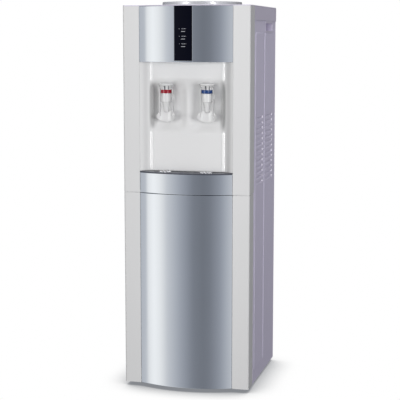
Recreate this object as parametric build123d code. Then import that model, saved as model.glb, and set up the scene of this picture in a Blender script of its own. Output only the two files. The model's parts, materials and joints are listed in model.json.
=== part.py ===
from build123d import *
import os
from math import cos, radians, sin

os.makedirs("parts", exist_ok=True)

# A floor-standing water cooler with a storage cabinet, in millimetres.
# X points to the right of someone facing it, the front faces -Y and Z points up.
# The origin is on the floor, under the middle of the whole outline.

# Outline of the cabinet
body_width = 320.0
shell_depth = 330.0
bulge = 25.0
pillar_width = 42.0
foot_height = 9.0
door_height = 486.0
seam_gap = 2.0
upper_height = 456.0
cover_lip = 2.0
return_depth = 47.5
swing_gap = 3.5
rear_recess = 8.0
edge_round = 5.0

# Walls and clearances
sheet = 1.0
wall = 2.5
gap = 0.3
pin_fit = 0.05

# Side panels
side_inset = 1.5
bead_radius = 2.5
field_rise = 1.0
field_depths = ((70.0, 170.0), (184.0, 294.0))
field_lift = 31.0
field_drop = 64.0
field_corner = 8.0
louvre_depths = ((82.0, 160.0), (192.0, 284.0))
louvre_sink = 3.0
louvre_height = 7.5
louvre_pitch = 13.5
louvre_count = 13
louvre_lift = 14.0
louvre_skin = 0.8

# Hand grips in the sides
grip_depth_from_front = 238.0
grip_length = 88.0
grip_height = 19.0
grip_pocket = 22.0
grip_rim = 4.0
grip_wall = 1.5
grip_flange = 0.8
grip_drop = 49.0

# Base pan, feet, shelf and rear panel
pan_rim = 25.0
foot_radius = 17.0
foot_chamfer = 2.0
foot_side_inset = 48.0
foot_inset = 28.0
stud_radius = 4.0
stud_length = 12.0
shelf_flange = 14.0
screw_radius = 3.5
screw_head = 2.0
screw_shank = 1.6
screw_length = 4.0
grille_slot_count = 9
grille_slot_share = 0.66
grille_post = 4.0

# Door and hinge
panel_seat = 3.0
hinge_inset = 12.0
hinge_set_back = 24.0
hinge_pin_radius = 3.0
hinge_pin_reach = 15.0
hinge_boss_radius = 6.5
hinge_plate = 2.0
hinge_width = 20.0
hinge_tail = 45.0
finger_height = 100.0
finger_drop = 176.0
finger_depth = 15.0
liner_dish = 14.0
liner_border = 26.0
catch_width = 40.0
catch_height = 14.0
catch_length = 18.0
catch_inset = 55.0

# Upper front
fascia_height = 135.0
strip_width = 44.6
strip_margin = 3.5
strip_fit = 0.2
lamp_radius = 1.7
lamp_pitch = 18.0
lamp_first_drop = 55.0
board_thickness = 1.6
board_width = 38.0
board_set_back = 9.0
niche_depth = 17.0
niche_splay = 27.0
niche_corner = 8.0
scallop_radius = 66.0
scallop_depth = 21.0
scallop_height = 108.0
scallop_round = 22.0
scallop_drop = 31.5

# Taps
tap_spacing = 103.0
tap_set_back = 8.0
tap_drop = 71.3
ring_height = 6.5
ring_radius = 14.0
barrel_radius = 12.3
barrel_height = 22.0
core_radius = 10.0
nozzle_length = 25.0
nozzle_top_radius = 9.5
nozzle_tip_radius = 6.0
valve_bore = 4.3
valve_fit = 0.1
shank_radius = 9.0
shank_tail_radius = 4.8
shank_tail = 16.0
shank_spare = 9.0
shank_flange_radius = 14.0
shank_flange = 2.7
nut_flats = 28.0
nut_height = 8.0
cap_skirt_radius = 13.2
cap_skirt = 6.7
hood_radius = 18.8
hood_flare = 6.0
hood_rim = 2.0
hood_crown = 1.2
slit_count = 9
slit_width = 2.8
slit_height = 5.2
slit_rise = 1.5
trunnion_radius = 1.8
trunnion_rise = 3.2
arm_clearance = 0.5
arm_thickness = 2.5
arm_width = 6.6
paddle_half_width = 23.6
paddle_half_height = 15.0
paddle_below_ring = 61.5
paddle_thickness = 2.5
paddle_dish = 12.5
paddle_clearance = 1.0
plunger_length = 44.0
plunger_seal = 4.0
plunger_edge = 1.0

# Drip tray and grid
tray_height = 52.0
tray_reach = 47.0
tray_wall = 2.0
grid_thickness = 3.0
grid_border = 6.0
grid_clearance = 2.5
grid_side_gap = 0.9
grid_slot_share = 0.46
grid_slot_count = 31
niche_foot_gap = 1.0

# Top cover, bottle collar and seat
skirt_height = 36.0
skirt_wall = 1.2
collar_radius = 101.5
collar_rise = 11.0
collar_flare = 9.5
collar_flange = 1.6
collar_width = 9.5
collar_rebate = 1.8
collar_foot = 2.0
collar_draft = 0.8
collar_edge = 1.5
seat_rim = 1.5
seat_rim_width = 7.0
seat_drop = 26.0
seat_draft = 2.0
seat_cone = 25.0
seat_cone_radius = 60.0
neck_radius = 36.0
neck_drop = 7.0
neck_length = 26.0
spike_radius = 9.0
spike_height = 40.0
spike_web = 3.0
spike_tip = 8.0
ledge = 3.5

# Cold tank, foam and cooling stage
tank_radius = 70.0
tank_height = 120.0
tank_below_cover = 66.0
tank_bottom_round = 12.0
stub_radius = 5.0
stub_length = 8.0
foam_thickness = 24.0
foam_floor = 14.0
foam_window = 92.0
bracket_width = 90.0
bracket_flange = 20.0
cold_block_width = 60.0
cold_block_length = 26.5
module_size = 40.0
module_thickness = 4.0
sink_size = 100.0
sink_base = 5.0
fin_count = 13
fin_thickness = 1.6
fan_size = 92.0
fan_depth = 25.0
fan_bore = 43.0
fan_hub = 18.0
fan_blades = 7
fan_tip_gap = 1.0
fan_wall = 2.4
fan_axle = 17.5
fan_blade_edge = 1.0
fan_blade_tilt = 38.0
fan_drop = 60.0

# Hot tank and hoses
hot_tank_radius = 48.0
hot_hose_drop = 33.0
hot_tank_x = -20.0
hot_tank_set_back = 17.5
hot_leg = 60.0
hot_leg_thickness = 3.0
band_height = 34.0
band_thickness = 3.0
band_rise = 30.0
ear_width = 16.0
ear_reach = 12.0
ear_inset = 4.0
ear_slot = 4.0
thermostat_radius = 8.0
thermostat_height = 7.0
thermostat_offsets = ((-4.0, -26.0), (14.0, -22.0))
terminal_height = 4.0
hose_radius = 8.0
hose_bore = 5.2
hose_bend = 14.0
feed_offset = 28.0
feed_set_back = 14.0

# Electrics and drain at the rear
supply_size = (70.0, 110.0, 42.0)
supply_inset = 65.0
supply_rear_gap = 53.2
vent_count = 6
vent_width = 4.0
control_size = (62.0, 100.0)
control_inset = 48.0
control_rear_gap = 48.2
control_post = 6.0
post_inset = 5.0
post_radius = 3.0
relay_place = (8.0, 12.0)
relay_size = (22.0, 22.0, 20.0)
capacitor_place = (44.0, 26.0)
capacitor_size = (8.0, 24.0)
plate_place = (12.0, 52.0)
plate_size = (38.0, 6.0, 26.0)
inlet_inset = 65.0
inlet_rise = 36.0
inlet_size = (28.0, 22.0)
inlet_flange = 5.0
inlet_depth = 24.0
inlet_wall = 2.5
blade_spread = 7.0
blade_rise = 2.0
blade_size = (2.0, 4.0)
switch_rise = 82.0
switch_size = (13.0, 22.0)
switch_pitch = 20.0
switch_depth = 16.0
switch_rim = 3.0
rocker_swing = 9.0
rocker_clearance = 0.6
rocker_pin = 1.2
rocker_proud = 2.6
rocker_edge = 1.0
rocker_root = 2.5
drain_rise = 30.0
drain_radius = 9.0
drain_cap_radius = 13.0
drain_cap_depth = 5.0
notch_count = 12
notch_radius = 1.4

# Planes and places worked out from the sizes above
half_width = body_width / 2
panel_half = half_width - pillar_width
total_depth = shell_depth + bulge
front_y = bulge - total_depth / 2
rear_y = total_depth / 2
shell_z = foot_height + sheet
door_top = shell_z + door_height
seam_top = door_top + seam_gap
shell_top = seam_top + upper_height
cover_top = shell_top + cover_lip
skirt_z = shell_top - skirt_height + cover_lip
return_y = front_y + return_depth
cab_front = return_y + swing_gap
side_face = half_width - side_inset
inner_half = side_face - sheet
fit_half = inner_half - gap
rear_face = rear_y - rear_recess
rear_inside = rear_face - sheet
rear_fit = rear_inside - gap
shelf_top = seam_top + wall
hinge_x = half_width - hinge_inset
hinge_y = front_y + hinge_set_back
bow_radius = (panel_half ** 2 + bulge ** 2) / (2 * bulge)
bow_centre = front_y - bulge + bow_radius
fascia_bottom = shell_top - fascia_height
strip_half = strip_width / 2
niche_y = front_y + niche_depth
tap_y = front_y + tap_set_back
ring_z = fascia_bottom - tap_drop
scallop_axis = niche_y + scallop_depth - scallop_radius
scallop_back = niche_y + scallop_depth
scallop_z = ring_z - scallop_drop
grid_top = seam_top + tray_height
grid_bottom = grid_top - grid_thickness
niche_bottom = grid_top + niche_foot_gap
bottle_y = (front_y + rear_y) / 2
collar_top = cover_top + collar_rise
collar_inner = collar_radius - collar_width
seat_rim_radius = collar_inner + seat_rim_width
tank_top = cover_top - tank_below_cover
tank_bottom = tank_top - tank_height
foam_bottom = tank_bottom - foam_floor
shank_z = ring_z - ring_height / 2 - barrel_height / 2
cap_z = ring_z + ring_height / 2 + gap
pivot_z = cap_z + trunnion_rise
arm_inner = ring_radius + arm_clearance
hot_tank_y = bottle_y + hot_tank_set_back
hot_tank_bottom = shelf_top + hot_leg
hot_tank_top = shank_z - hot_hose_drop
feed_x = hot_tank_x + feed_offset
feed_y = hot_tank_y + feed_set_back
fan_z = tank_top - fan_drop
fan_front = rear_fit - fan_depth
block_front = bottle_y + tank_radius + gap
module_front = block_front + cold_block_length
sink_front = module_front + module_thickness
sink_length = fan_front - gap - sink_front
tail_start = scallop_back + wall + nut_height + shank_spare
hose_start = tail_start + gap
foot_x = half_width - foot_side_inset
field_bottom = foot_height + field_lift
field_top = shell_top - field_drop
louvre_bottom = seam_top + louvre_lift
finger_centre = door_top - finger_drop
catch_x = catch_inset - half_width
supply_x = half_width - supply_inset
supply_y = rear_fit - supply_rear_gap - supply_size[1] / 2
control_x = control_inset - half_width
control_y = rear_fit - control_rear_gap - control_size[1] / 2
inlet_x = half_width - inlet_inset
switch_x = inlet_x
rocker_axis = rear_face - switch_depth / 3


def block(x0, x1, y0, y1, z0, z1):
    """Block between two corners."""
    return Pos((x0 + x1) / 2, (y0 + y1) / 2, (z0 + z1) / 2) * Box(x1 - x0, y1 - y0, z1 - z0)


def rod_x(y, z, x0, x1, radius):
    """Round rod along X."""
    return Pos((x0 + x1) / 2, y, z) * Rot(0, 90, 0) * Cylinder(radius, x1 - x0)


def rod_y(x, z, y0, y1, radius):
    """Round rod along Y."""
    return Pos(x, (y0 + y1) / 2, z) * Rot(90, 0, 0) * Cylinder(radius, y1 - y0)


def rod_z(x, y, z0, z1, radius):
    """Round rod along Z."""
    return Pos(x, y, (z0 + z1) / 2) * Cylinder(radius, z1 - z0)


def plan(points, z0, z1):
    """Prism over an outline in plan."""
    return Pos(0, 0, z0) * extrude(make_face(Polyline(*points, close=True)), z1 - z0)


def along_y(points, y0, y1):
    """Prism over an outline of (x, z) points, from y0 to y1."""
    face = make_face(Polyline(*points, close=True))
    return Pos(0, y1, 0) * extrude(Plane.XZ * face, y1 - y0)


def turned(points, x, y):
    """Solid of revolution over an outline of (radius, z) points, about a vertical line."""
    face = make_face(Polyline(*points, close=True))
    return Pos(x, y, 0) * revolve(Plane.XZ * face, Axis.Z)


def bow(offset, half, back, z0, z1):
    """Block whose front follows the bulge, set back by offset."""
    foremost = front_y - bulge
    disc = Pos(0, bow_centre) * Circle(bow_radius - offset)
    strip = Pos(0, (foremost + back) / 2) * Rectangle(2 * half, back - foremost)
    return Pos(0, 0, z0) * extrude(disc & strip, z1 - z0)


def tray_box(x0, x1, y0, y1, z0, z1, skin):
    """Open-topped sheet pan."""
    return block(x0, x1, y0, y1, z0, z1) - block(x0 + skin, x1 - skin, y0 + skin, y1 - skin, z0 + skin, z1)


def other_side(shape):
    """The same shape, mirrored to the other side of the middle."""
    return mirror(shape, about=Plane.YZ)


def foot_places():
    """Middle of each foot in plan."""
    return [(x, y) for x in (-foot_x, foot_x) for y in (cab_front + foot_inset, rear_fit - foot_inset)]


def base_pan():
    """Folded steel floor of the cabinet, with the holes of the feet."""
    pan = tray_box(-fit_half, fit_half, cab_front, rear_fit, foot_height, foot_height + pan_rim, sheet)
    for x, y in foot_places():
        pan -= rod_z(x, y, foot_height - sheet, foot_height + 2 * sheet, stud_radius + gap)
    for x, z in rear_screw_places():
        pan -= rod_y(x, z, rear_fit - 2 * sheet, rear_fit + sheet, screw_shank + gap)
    return pan


def feet():
    """Four moulded feet with their studs."""
    outline = [
        (0, 0), (foot_radius - foot_chamfer, 0), (foot_radius, foot_chamfer),
        (0.75 * foot_radius, foot_height), (stud_radius, foot_height),
        (stud_radius, foot_height + stud_length), (0, foot_height + stud_length),
    ]
    return Compound(children=[turned(outline, x, y).solid() for x, y in foot_places()])


def pressed_field(y0, y1):
    """Raised field of a side panel, with sloped borders."""
    middle = Pos((y0 + y1) / 2, (field_bottom + field_top) / 2)
    face = middle * RectangleRounded(y1 - y0, field_top - field_bottom, field_corner)
    return extrude(Plane.YZ.offset(side_face) * face, field_rise, taper=45)


def louvre_row(y0, y1, z):
    """Slope of one louvre, pressed inwards and open at its top, and the hollow in front of it."""
    face = side_face + field_rise
    root = face - sheet / 2
    back = face - louvre_sink
    low = z + louvre_skin
    top = z + louvre_height
    pocket = [(root, z), (back - louvre_skin, top), (root, top)]
    hollow = [(face + sheet, low), (face, low), (back, top), (face + sheet, top)]
    return along_y(pocket, y0, y1), along_y(hollow, y0 + louvre_skin, y1 - louvre_skin)


def grip_window(outset):
    """Opening of a hand grip through the right side panel."""
    y = front_y + grip_depth_from_front
    z = shell_top - grip_drop
    return block(
        half_width - grip_pocket - wall - outset, half_width + wall,
        y - grip_length / 2 - outset, y + grip_length / 2 + outset,
        z - grip_height / 2 - outset, z + grip_height / 2 + outset,
    )


def right_side_panel():
    """Painted steel side with a rolled front edge, two pressed fields and two columns of louvres."""
    top = shell_top - gap
    under_skirt = skirt_z - gap
    panel = block(inner_half, side_face, cab_front, rear_y, foot_height, top)
    panel -= block(inner_half, side_face, rear_y - skirt_wall - gap, rear_y, under_skirt, top)
    bead = rod_z(side_face, cab_front + bead_radius, foot_height, under_skirt, bead_radius)
    panel += bead & block(side_face - sheet / 2, half_width, cab_front, rear_y, foot_height, under_skirt)
    for d0, d1 in field_depths:
        field = pressed_field(front_y + d0, front_y + d1)
        panel = panel + field - Pos(-sheet, 0, 0) * field
    pockets = []
    hollows = []
    for d0, d1 in louvre_depths:
        for row in range(louvre_count):
            pocket, hollow = louvre_row(front_y + d0, front_y + d1, louvre_bottom + row * louvre_pitch)
            pockets.append(pocket)
            hollows.append(hollow)
    return panel + pockets - hollows - grip_window(grip_wall + gap)


def hand_grip():
    """Moulded cup in the right side panel for lifting the cabinet."""
    y = front_y + grip_depth_from_front
    z = shell_top - grip_drop
    reach = grip_length / 2 + grip_wall
    rise = grip_height / 2 + grip_wall
    rim = block(
        side_face + gap, side_face + gap + grip_flange, y - reach - grip_rim, y + reach + grip_rim,
        z - rise - grip_rim, z + rise + grip_rim,
    )
    rim = fillet(rim.edges().filter_by(Axis.X), grip_rim)
    cup = block(
        half_width - grip_pocket - grip_wall, side_face + gap + grip_flange / 2,
        y - reach, y + reach, z - rise, z + rise,
    )
    hollow = block(
        half_width - grip_pocket, half_width + wall, y - grip_length / 2, y + grip_length / 2,
        z - grip_height / 2, z + grip_height / 2,
    )
    return rim + cup - hollow


def rear_screw_places():
    """Middle of each screw of the rear panel."""
    edge = fit_half - 4 * screw_radius
    heights = [foot_height + pan_rim / 2, shelf_top + 0.55 * upper_height, skirt_z - 4 * screw_radius]
    return [(x, z) for x in (-edge, edge) for z in heights]


def rear_panel():
    """Steel back, set in from the rear edge, with the fan grille and the cut-outs of the fittings."""
    top = skirt_z - gap
    panel = block(-fit_half, fit_half, rear_inside, rear_y, foot_height, top)
    panel -= block(-fit_half + sheet, fit_half - sheet, rear_face, rear_y, foot_height + sheet, top - sheet)
    through = (rear_inside - sheet, rear_face + sheet)
    disc = rod_y(0, fan_z, *through, fan_bore)
    pitch = 2 * fan_bore / grille_slot_count
    slot = grille_slot_share * pitch / 2
    posts = []
    for x in (-fan_bore / 3, fan_bore / 3):
        half = grille_post / 2
        posts.append(block(x - half, x + half, *through, fan_z - fan_bore, fan_z + fan_bore))
    for row in range(grille_slot_count):
        z = fan_z - fan_bore + (row + 0.5) * pitch
        panel -= (block(-fan_bore, fan_bore, *through, z - slot, z + slot) & disc) - posts
    panel -= block(
        inlet_x - inlet_size[0] / 2 - gap, inlet_x + inlet_size[0] / 2 + gap, *through,
        shelf_top + inlet_rise - inlet_size[1] / 2 - gap, shelf_top + inlet_rise + inlet_size[1] / 2 + gap,
    )
    reach = switch_pitch / 2 + switch_size[0] / 2 + gap
    rise = switch_size[1] / 2 + gap
    z = shelf_top + switch_rise
    panel -= block(switch_x - reach, switch_x + reach, *through, z - rise, z + rise)
    panel -= rod_y(hot_tank_x, shelf_top + drain_rise, *through, drain_radius + gap)
    for x, z in rear_screw_places():
        panel -= rod_y(x, z, *through, screw_shank + gap)
    return panel


def rear_screws():
    """Pan-head screws of the rear panel."""
    screws = []
    for x, z in rear_screw_places():
        shank = rod_y(x, z, rear_inside - screw_length, rear_face, screw_shank)
        head = rod_y(x, z, rear_face, rear_face + screw_head, screw_radius)
        screws.append((shank + head).solid())
    return Compound(children=screws)


def mid_shelf():
    """Steel shelf between the storage space and the tanks, with folded edges."""
    shelf = block(-fit_half, fit_half, cab_front, rear_fit, shelf_top - shelf_flange, shelf_top)
    shelf -= block(
        -fit_half + sheet, fit_half - sheet, cab_front - sheet, rear_fit - sheet,
        shelf_top - shelf_flange, shelf_top - sheet,
    )
    return shelf


def upper_hinge_bracket():
    """Plate on the shelf with the pin that goes down into the door."""
    x0 = hinge_x - hinge_width / 2
    x1 = min(hinge_x + hinge_width / 2, fit_half)
    top = shelf_top + hinge_plate
    plate = block(x0, x1, hinge_y - hinge_width / 2, cab_front + hinge_tail, shelf_top, top)
    return plate + rod_z(hinge_x, hinge_y, door_top - hinge_pin_reach, top, hinge_pin_radius)


def lower_hinge_bracket():
    """Plate under the base pan with the washer and pin that carry the door."""
    x0 = hinge_x - hinge_width / 2
    x1 = min(hinge_x + hinge_width / 2, fit_half)
    low = foot_height - hinge_plate
    root = foot_height - hinge_plate / 2
    plate = block(x0, x1, hinge_y - hinge_width / 2, cab_front + hinge_tail, low, foot_height)
    washer = rod_z(hinge_x, hinge_y, root, shell_z - gap, 2 * hinge_pin_radius)
    pin = rod_z(hinge_x, hinge_y, root, shell_z + hinge_pin_reach, hinge_pin_radius)
    return plate + washer + pin


def door_catch():
    """Magnetic catch under the shelf, at the free side of the door."""
    x0 = catch_x - catch_width / 2
    x1 = catch_x + catch_width / 2
    top = shelf_top - sheet
    body = block(x0, x1, cab_front, cab_front + catch_length, top - catch_height, top)
    return body + block(x0, x1, return_y + gap, cab_front, top - catch_height, seam_top - gap)


def door_shell():
    """White frame of the door: two pillars, their returns and a field behind the panel."""
    shell = block(-half_width, half_width, front_y, return_y, shell_z, door_top)
    corners = shell.edges().filter_by(Axis.Z).group_by(Axis.Y)[0]
    shell = fillet(corners, edge_round)
    low = shell_z + wall
    high = door_top - wall
    shell -= block(-panel_half, panel_half, front_y - wall, front_y + panel_seat, shell_z, door_top)
    shell -= block(-half_width + wall, half_width - wall, front_y + panel_seat + wall, return_y, low, high)
    for side in (-1, 1):
        x0, x1 = sorted((side * (panel_half + wall), side * (half_width - wall)))
        shell -= block(x0, x1, front_y + wall, return_y, low, high)
    depth = hinge_pin_reach + wall
    for z0, z1 in ((shell_z, shell_z + depth), (door_top - depth, door_top)):
        shell += rod_z(hinge_x, hinge_y, z0, z1, hinge_boss_radius)
        shell -= rod_z(hinge_x, hinge_y, z0 - wall, z1 + wall, hinge_pin_radius + pin_fit)
    finger = block(
        -half_width - wall, -half_width + 2 * wall, return_y - finger_depth, return_y + wall,
        finger_centre - finger_height / 2, finger_centre + finger_height / 2,
    )
    return shell - fillet(finger.edges().filter_by(Axis.X).group_by(Axis.Y)[0], finger_depth / 2)


def door_panel():
    """Silver curved front of the door, hollow behind, with closed ends."""
    half = panel_half - gap
    back = front_y + panel_seat - gap
    panel = bow(0, half, back, shell_z, door_top)
    return panel - bow(wall, half + wall, back + wall, shell_z + wall, door_top - wall)


def door_liner():
    """Inner face of the door, dished towards the front, notched at the finger space."""
    half = half_width - wall - gap
    low = shell_z + wall + gap
    high = door_top - wall - gap
    border = liner_border
    liner = block(-half, half, return_y - wall, return_y, low, high)
    liner += block(
        -half + border, half - border, return_y - liner_dish - wall, return_y, low + border, high - border,
    )
    liner -= block(
        -half + border + wall, half - border - wall, return_y - liner_dish, return_y,
        low + border + wall, high - border - wall,
    )
    return liner - block(
        -half - wall, -half + finger_depth, return_y - 2 * wall, return_y + wall,
        finger_centre - finger_height / 2, finger_centre + finger_height / 2,
    )


def upper_front_shell():
    """White frame around the fascia, the tap niche and the drip tray."""
    back = cab_front - gap
    shell = block(-half_width, half_width, front_y, back, seam_top, shell_top)
    corners = shell.edges().filter_by(Axis.Z).group_by(Axis.Y)[0]
    shell = fillet(corners, edge_round)
    low = seam_top + wall
    high = shell_top - wall
    shell -= block(-half_width + wall, half_width - wall, front_y + wall, back, low, high)
    shell -= block(-panel_half, panel_half, front_y - wall, front_y + panel_seat, low, shell_top)
    for side in (-1, 1):
        x0, x1 = sorted((side * panel_half, side * (panel_half + wall)))
        shell += block(x0, x1, front_y, front_y + niche_depth + wall, seam_top, shell_top)
    return shell - rod_z(hinge_x, hinge_y, seam_top - wall, low + wall, hinge_pin_radius + 2 * gap)


def upper_fascia():
    """Silver curved panel above the niche, with the slot of the dark strip and a closed bottom."""
    half = panel_half - gap
    back = front_y + niche_depth + wall
    top = shell_top - gap
    fascia = bow(0, half, back, fascia_bottom, top)
    fascia -= bow(wall, half + wall, back + wall, fascia_bottom + wall, top + wall)
    low = fascia_bottom + strip_margin
    return fascia - block(-strip_half, strip_half, front_y - 2 * bulge, front_y, low, top + wall)


def lamp_heights():
    """Height of each indicator lamp."""
    return [shell_top - lamp_first_drop - row * lamp_pitch for row in range(3)]


def display_window():
    """Dark glossy strip in the fascia, with the holes of the lamps."""
    half = strip_half - strip_fit
    low = fascia_bottom + strip_margin + strip_fit
    high = shell_top - gap
    window = bow(0, half, front_y, low, high)
    window -= bow(wall, half + wall, front_y + wall, low - wall, high + wall)
    for z in lamp_heights():
        window -= rod_y(0, z, front_y - 2 * bulge, front_y, lamp_radius + pin_fit)
    return window


def indicator_lights():
    """Three small light pipes that reach from the board to the face of the strip."""
    face = front_y - bulge
    return Compound(children=[
        rod_y(0, z, face + 2 * pin_fit, face + board_set_back, lamp_radius).solid() for z in lamp_heights()
    ])


def display_board():
    """Circuit board behind the dark strip."""
    front = front_y - bulge + board_set_back
    heights = lamp_heights()
    half = board_width / 2
    third = half / 3
    low = heights[-1] - lamp_pitch
    board = block(-half, half, front, front + board_thickness, low, heights[0] + lamp_pitch)
    chip = block(-third, third, front, front + 2 * board_thickness, heights[1] - third, heights[1] + third)
    return board + chip


def niche_front():
    """Front line of the niche wall in plan: two splayed sides and a flat back."""
    half = panel_half - gap
    flat = half - niche_splay
    return [(-half, front_y + gap), (-flat, niche_y), (flat, niche_y), (half, front_y + gap)]


def scallop(x, growth):
    """Barrel with rounded ends that stands where a tap is set into the niche wall."""
    barrel = Cylinder(scallop_radius + growth, scallop_height + 2 * growth)
    barrel = fillet(barrel.edges().filter_by(GeomType.CIRCLE), scallop_round + growth)
    return Pos(x, scallop_axis, scallop_z) * barrel


def tap_places():
    """X of each tap, hot on the left."""
    return (-tap_spacing / 2, tap_spacing / 2)


def niche_panel():
    """White wall behind the taps, with a scallop round each tap and the pocket of the tray below."""
    line = niche_front()
    top = fascia_bottom - gap
    panel = plan(line + [(x, y + wall) for x, y in reversed(line)], niche_bottom, top)
    flat = panel_half - niche_splay
    corners = [edge for edge in panel.edges().filter_by(Axis.Z) if abs(edge.center().X) < flat]
    panel = fillet(corners, niche_corner)
    far = cab_front - gap
    behind = plan(line + [(line[-1][0], far), (line[0][0], far)], niche_bottom, top)
    for x in tap_places():
        panel += scallop(x, wall) & behind
    for x in tap_places():
        panel -= scallop(x, 0)
        panel -= rod_y(x, shank_z, niche_y, far, shank_radius + gap)
    half = panel_half - gap
    pocket_back = front_y + tray_reach + gap
    high = niche_bottom + wall
    panel += block(-half, half, niche_y, pocket_back + wall, niche_bottom, high)
    return panel + block(-half, half, pocket_back, pocket_back + wall, seam_top + wall + gap, high)


def tap_body(x):
    """Tap barrel with its nozzle, threaded shank and hose tail."""
    barrel_top = ring_z - ring_height / 2
    barrel_bottom = barrel_top - barrel_height
    outline = [
        (0, barrel_bottom - nozzle_length), (nozzle_tip_radius, barrel_bottom - nozzle_length),
        (nozzle_top_radius, barrel_bottom), (barrel_radius, barrel_bottom), (barrel_radius, barrel_top - gap),
        (core_radius, barrel_top - gap), (core_radius, cap_z - gap), (0, cap_z - gap),
    ]
    body = turned(outline, x, tap_y)
    flange_back = scallop_back - shank_flange_radius ** 2 / (2 * scallop_radius) - gap
    body += rod_y(x, shank_z, tap_y, tail_start, shank_radius)
    body += rod_y(x, shank_z, flange_back - shank_flange, flange_back, shank_flange_radius)
    body += rod_y(x, shank_z, tail_start - wall, tail_start + shank_tail, shank_tail_radius)
    return body - rod_z(x, tap_y, barrel_bottom - nozzle_length, cap_z, valve_bore)


def tap_ring(x):
    """Coloured ring between the barrel and the cap."""
    low = ring_z - ring_height / 2
    high = ring_z + ring_height / 2
    return rod_z(x, tap_y, low, high, ring_radius) - rod_z(x, tap_y, low, high, core_radius + gap)


def tap_cap(x):
    """Slit cap with a flared hood and the two trunnions of the lever."""
    skirt_top = cap_z + cap_skirt
    rim = skirt_top + hood_flare
    crown = rim + hood_rim + hood_crown
    outline = [
        (0, cap_z), (cap_skirt_radius, cap_z), (cap_skirt_radius, skirt_top), (hood_radius, rim),
        (hood_radius, rim + hood_rim), (0.7 * hood_radius, crown), (0, crown),
    ]
    cap = turned(outline, x, tap_y)
    cap -= rod_z(x, tap_y, cap_z, rim, valve_bore + 4 * gap)
    slits = []
    for turn in range(slit_count):
        angle = 360 * turn / slit_count - 90
        slot = block(core_radius - sheet, hood_radius, -slit_width / 2, slit_width / 2, 0, slit_height)
        slits.append(Pos(x, tap_y, skirt_top + slit_rise - slit_height) * Rot(0, 0, angle) * slot)
    cap -= slits
    for side in (-1, 1):
        x0, x1 = sorted((side * (cap_skirt_radius - trunnion_radius), side * (arm_inner + arm_thickness)))
        cap += rod_x(tap_y, pivot_z, x + x0, x + x1, trunnion_radius)
    return cap


def tap_lever(x):
    """Push lever: two arms on the trunnions and a dished paddle behind the nozzle."""
    paddle_z = ring_z - paddle_below_ring
    radius = (paddle_half_width ** 2 + paddle_dish ** 2) / (2 * paddle_dish)
    back = tap_y + nozzle_tip_radius + paddle_clearance + paddle_thickness
    low = paddle_z - paddle_half_height
    high = paddle_z + paddle_half_height
    axis_y = back - radius
    dish = rod_z(0, axis_y, low, high, radius) - rod_z(0, axis_y, low, high, radius - paddle_thickness)
    dish &= block(-paddle_half_width, paddle_half_width, axis_y, back, low, high)
    outline = Plane.XZ * Pos(0, paddle_z) * Ellipse(paddle_half_width, paddle_half_height)
    dish &= Pos(0, back + wall, 0) * extrude(outline, 2 * radius)
    lever = dish
    for side in (-1, 1):
        x0, x1 = sorted((side * arm_inner, side * (arm_inner + arm_thickness)))
        arm = block(x0, x1, tap_y - arm_width / 2, tap_y + arm_width / 2, paddle_z, pivot_z)
        arm += rod_x(tap_y, pivot_z, x0, x1, arm_width / 2)
        lever = lever + arm - rod_x(tap_y, pivot_z, x0 - gap, x1 + gap, trunnion_radius + pin_fit)
    return Pos(x, 0, 0) * lever


def tap_plunger(x):
    """Valve stem inside the barrel, with a conical seal at its foot."""
    radius = valve_bore - valve_fit
    top = cap_z + cap_skirt
    low = top - plunger_length
    outline = [
        (0, low), (0.45 * radius, low), (radius, low + plunger_seal), (radius, top - plunger_edge),
        (radius - plunger_edge, top), (0, top),
    ]
    return turned(outline, x, tap_y)


def tap_nuts():
    """Hexagon nuts that hold the taps from behind the niche wall."""
    nuts = []
    front = scallop_back + wall + gap
    for x in tap_places():
        hexagon = Plane.XZ * Pos(x, shank_z) * RegularPolygon(nut_flats / 2, 6, major_radius=False)
        nut = Pos(0, front + nut_height, 0) * extrude(hexagon, nut_height)
        nuts.append((nut - rod_y(x, shank_z, front, front + nut_height, shank_radius + pin_fit)).solid())
    return Compound(children=nuts)


def drip_tray():
    """Bowl of the drip tray, rounded at the front and reaching under the niche wall."""
    half = panel_half - 2 * gap
    back = front_y + tray_reach
    low = seam_top + wall + gap
    bowl = bow(wall + gap, half, back, low, grid_bottom - gap)
    inside = bow(wall + gap + tray_wall, half - tray_wall, back - tray_wall, low + tray_wall, grid_bottom)
    return bowl - inside


def tray_front():
    """Silver front of the drip tray, in line with the door panel."""
    half = panel_half - 2 * gap
    low = seam_top - seam_gap / 2
    back = front_y + panel_seat
    front = bow(0, half, back, low, grid_bottom - gap)
    front -= bow(wall, half + wall, back + wall, low - wall, grid_top)
    high = seam_top + wall + gap
    return front - block(-half_width, half_width, front_y - gap, back + wall, low - wall, high)


def drip_grid():
    """Dark grid over the tray, cut into bars."""
    line = niche_front()
    rear = niche_y - grid_clearance
    half = panel_half - grid_side_gap
    flat = line[2][0] - grid_clearance
    splay = [(-half, front_y), (-flat, rear), (flat, rear), (half, front_y)]
    grid = bow(0, half, front_y, grid_bottom, grid_top) + plan(splay, grid_bottom, grid_top)
    reach = flat - grid_border
    inset = bow(grid_border, reach, rear - grid_border, grid_bottom, grid_top)
    pitch = 2 * reach / grid_slot_count
    for bar in range(grid_slot_count):
        x = (bar + 0.5) * pitch - reach
        slot = grid_slot_share * pitch / 2
        grid -= block(x - slot, x + slot, front_y - bulge, niche_y, grid_bottom, grid_top) & inset
    return grid


def top_cover():
    """Top of the cabinet with its skirt and the opening of the bottle seat."""
    cover = block(-half_width, half_width, front_y, rear_y, shell_top, cover_top)
    cover += bow(0, panel_half, front_y, shell_top, cover_top)
    cover += block(-half_width, half_width, cab_front, rear_y, skirt_z, shell_top)
    half = half_width - skirt_wall
    cover -= block(-half, half, cab_front, rear_y - skirt_wall, skirt_z, shell_top)
    return cover - rod_z(0, bottle_y, skirt_z, cover_top, collar_inner + gap)


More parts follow.
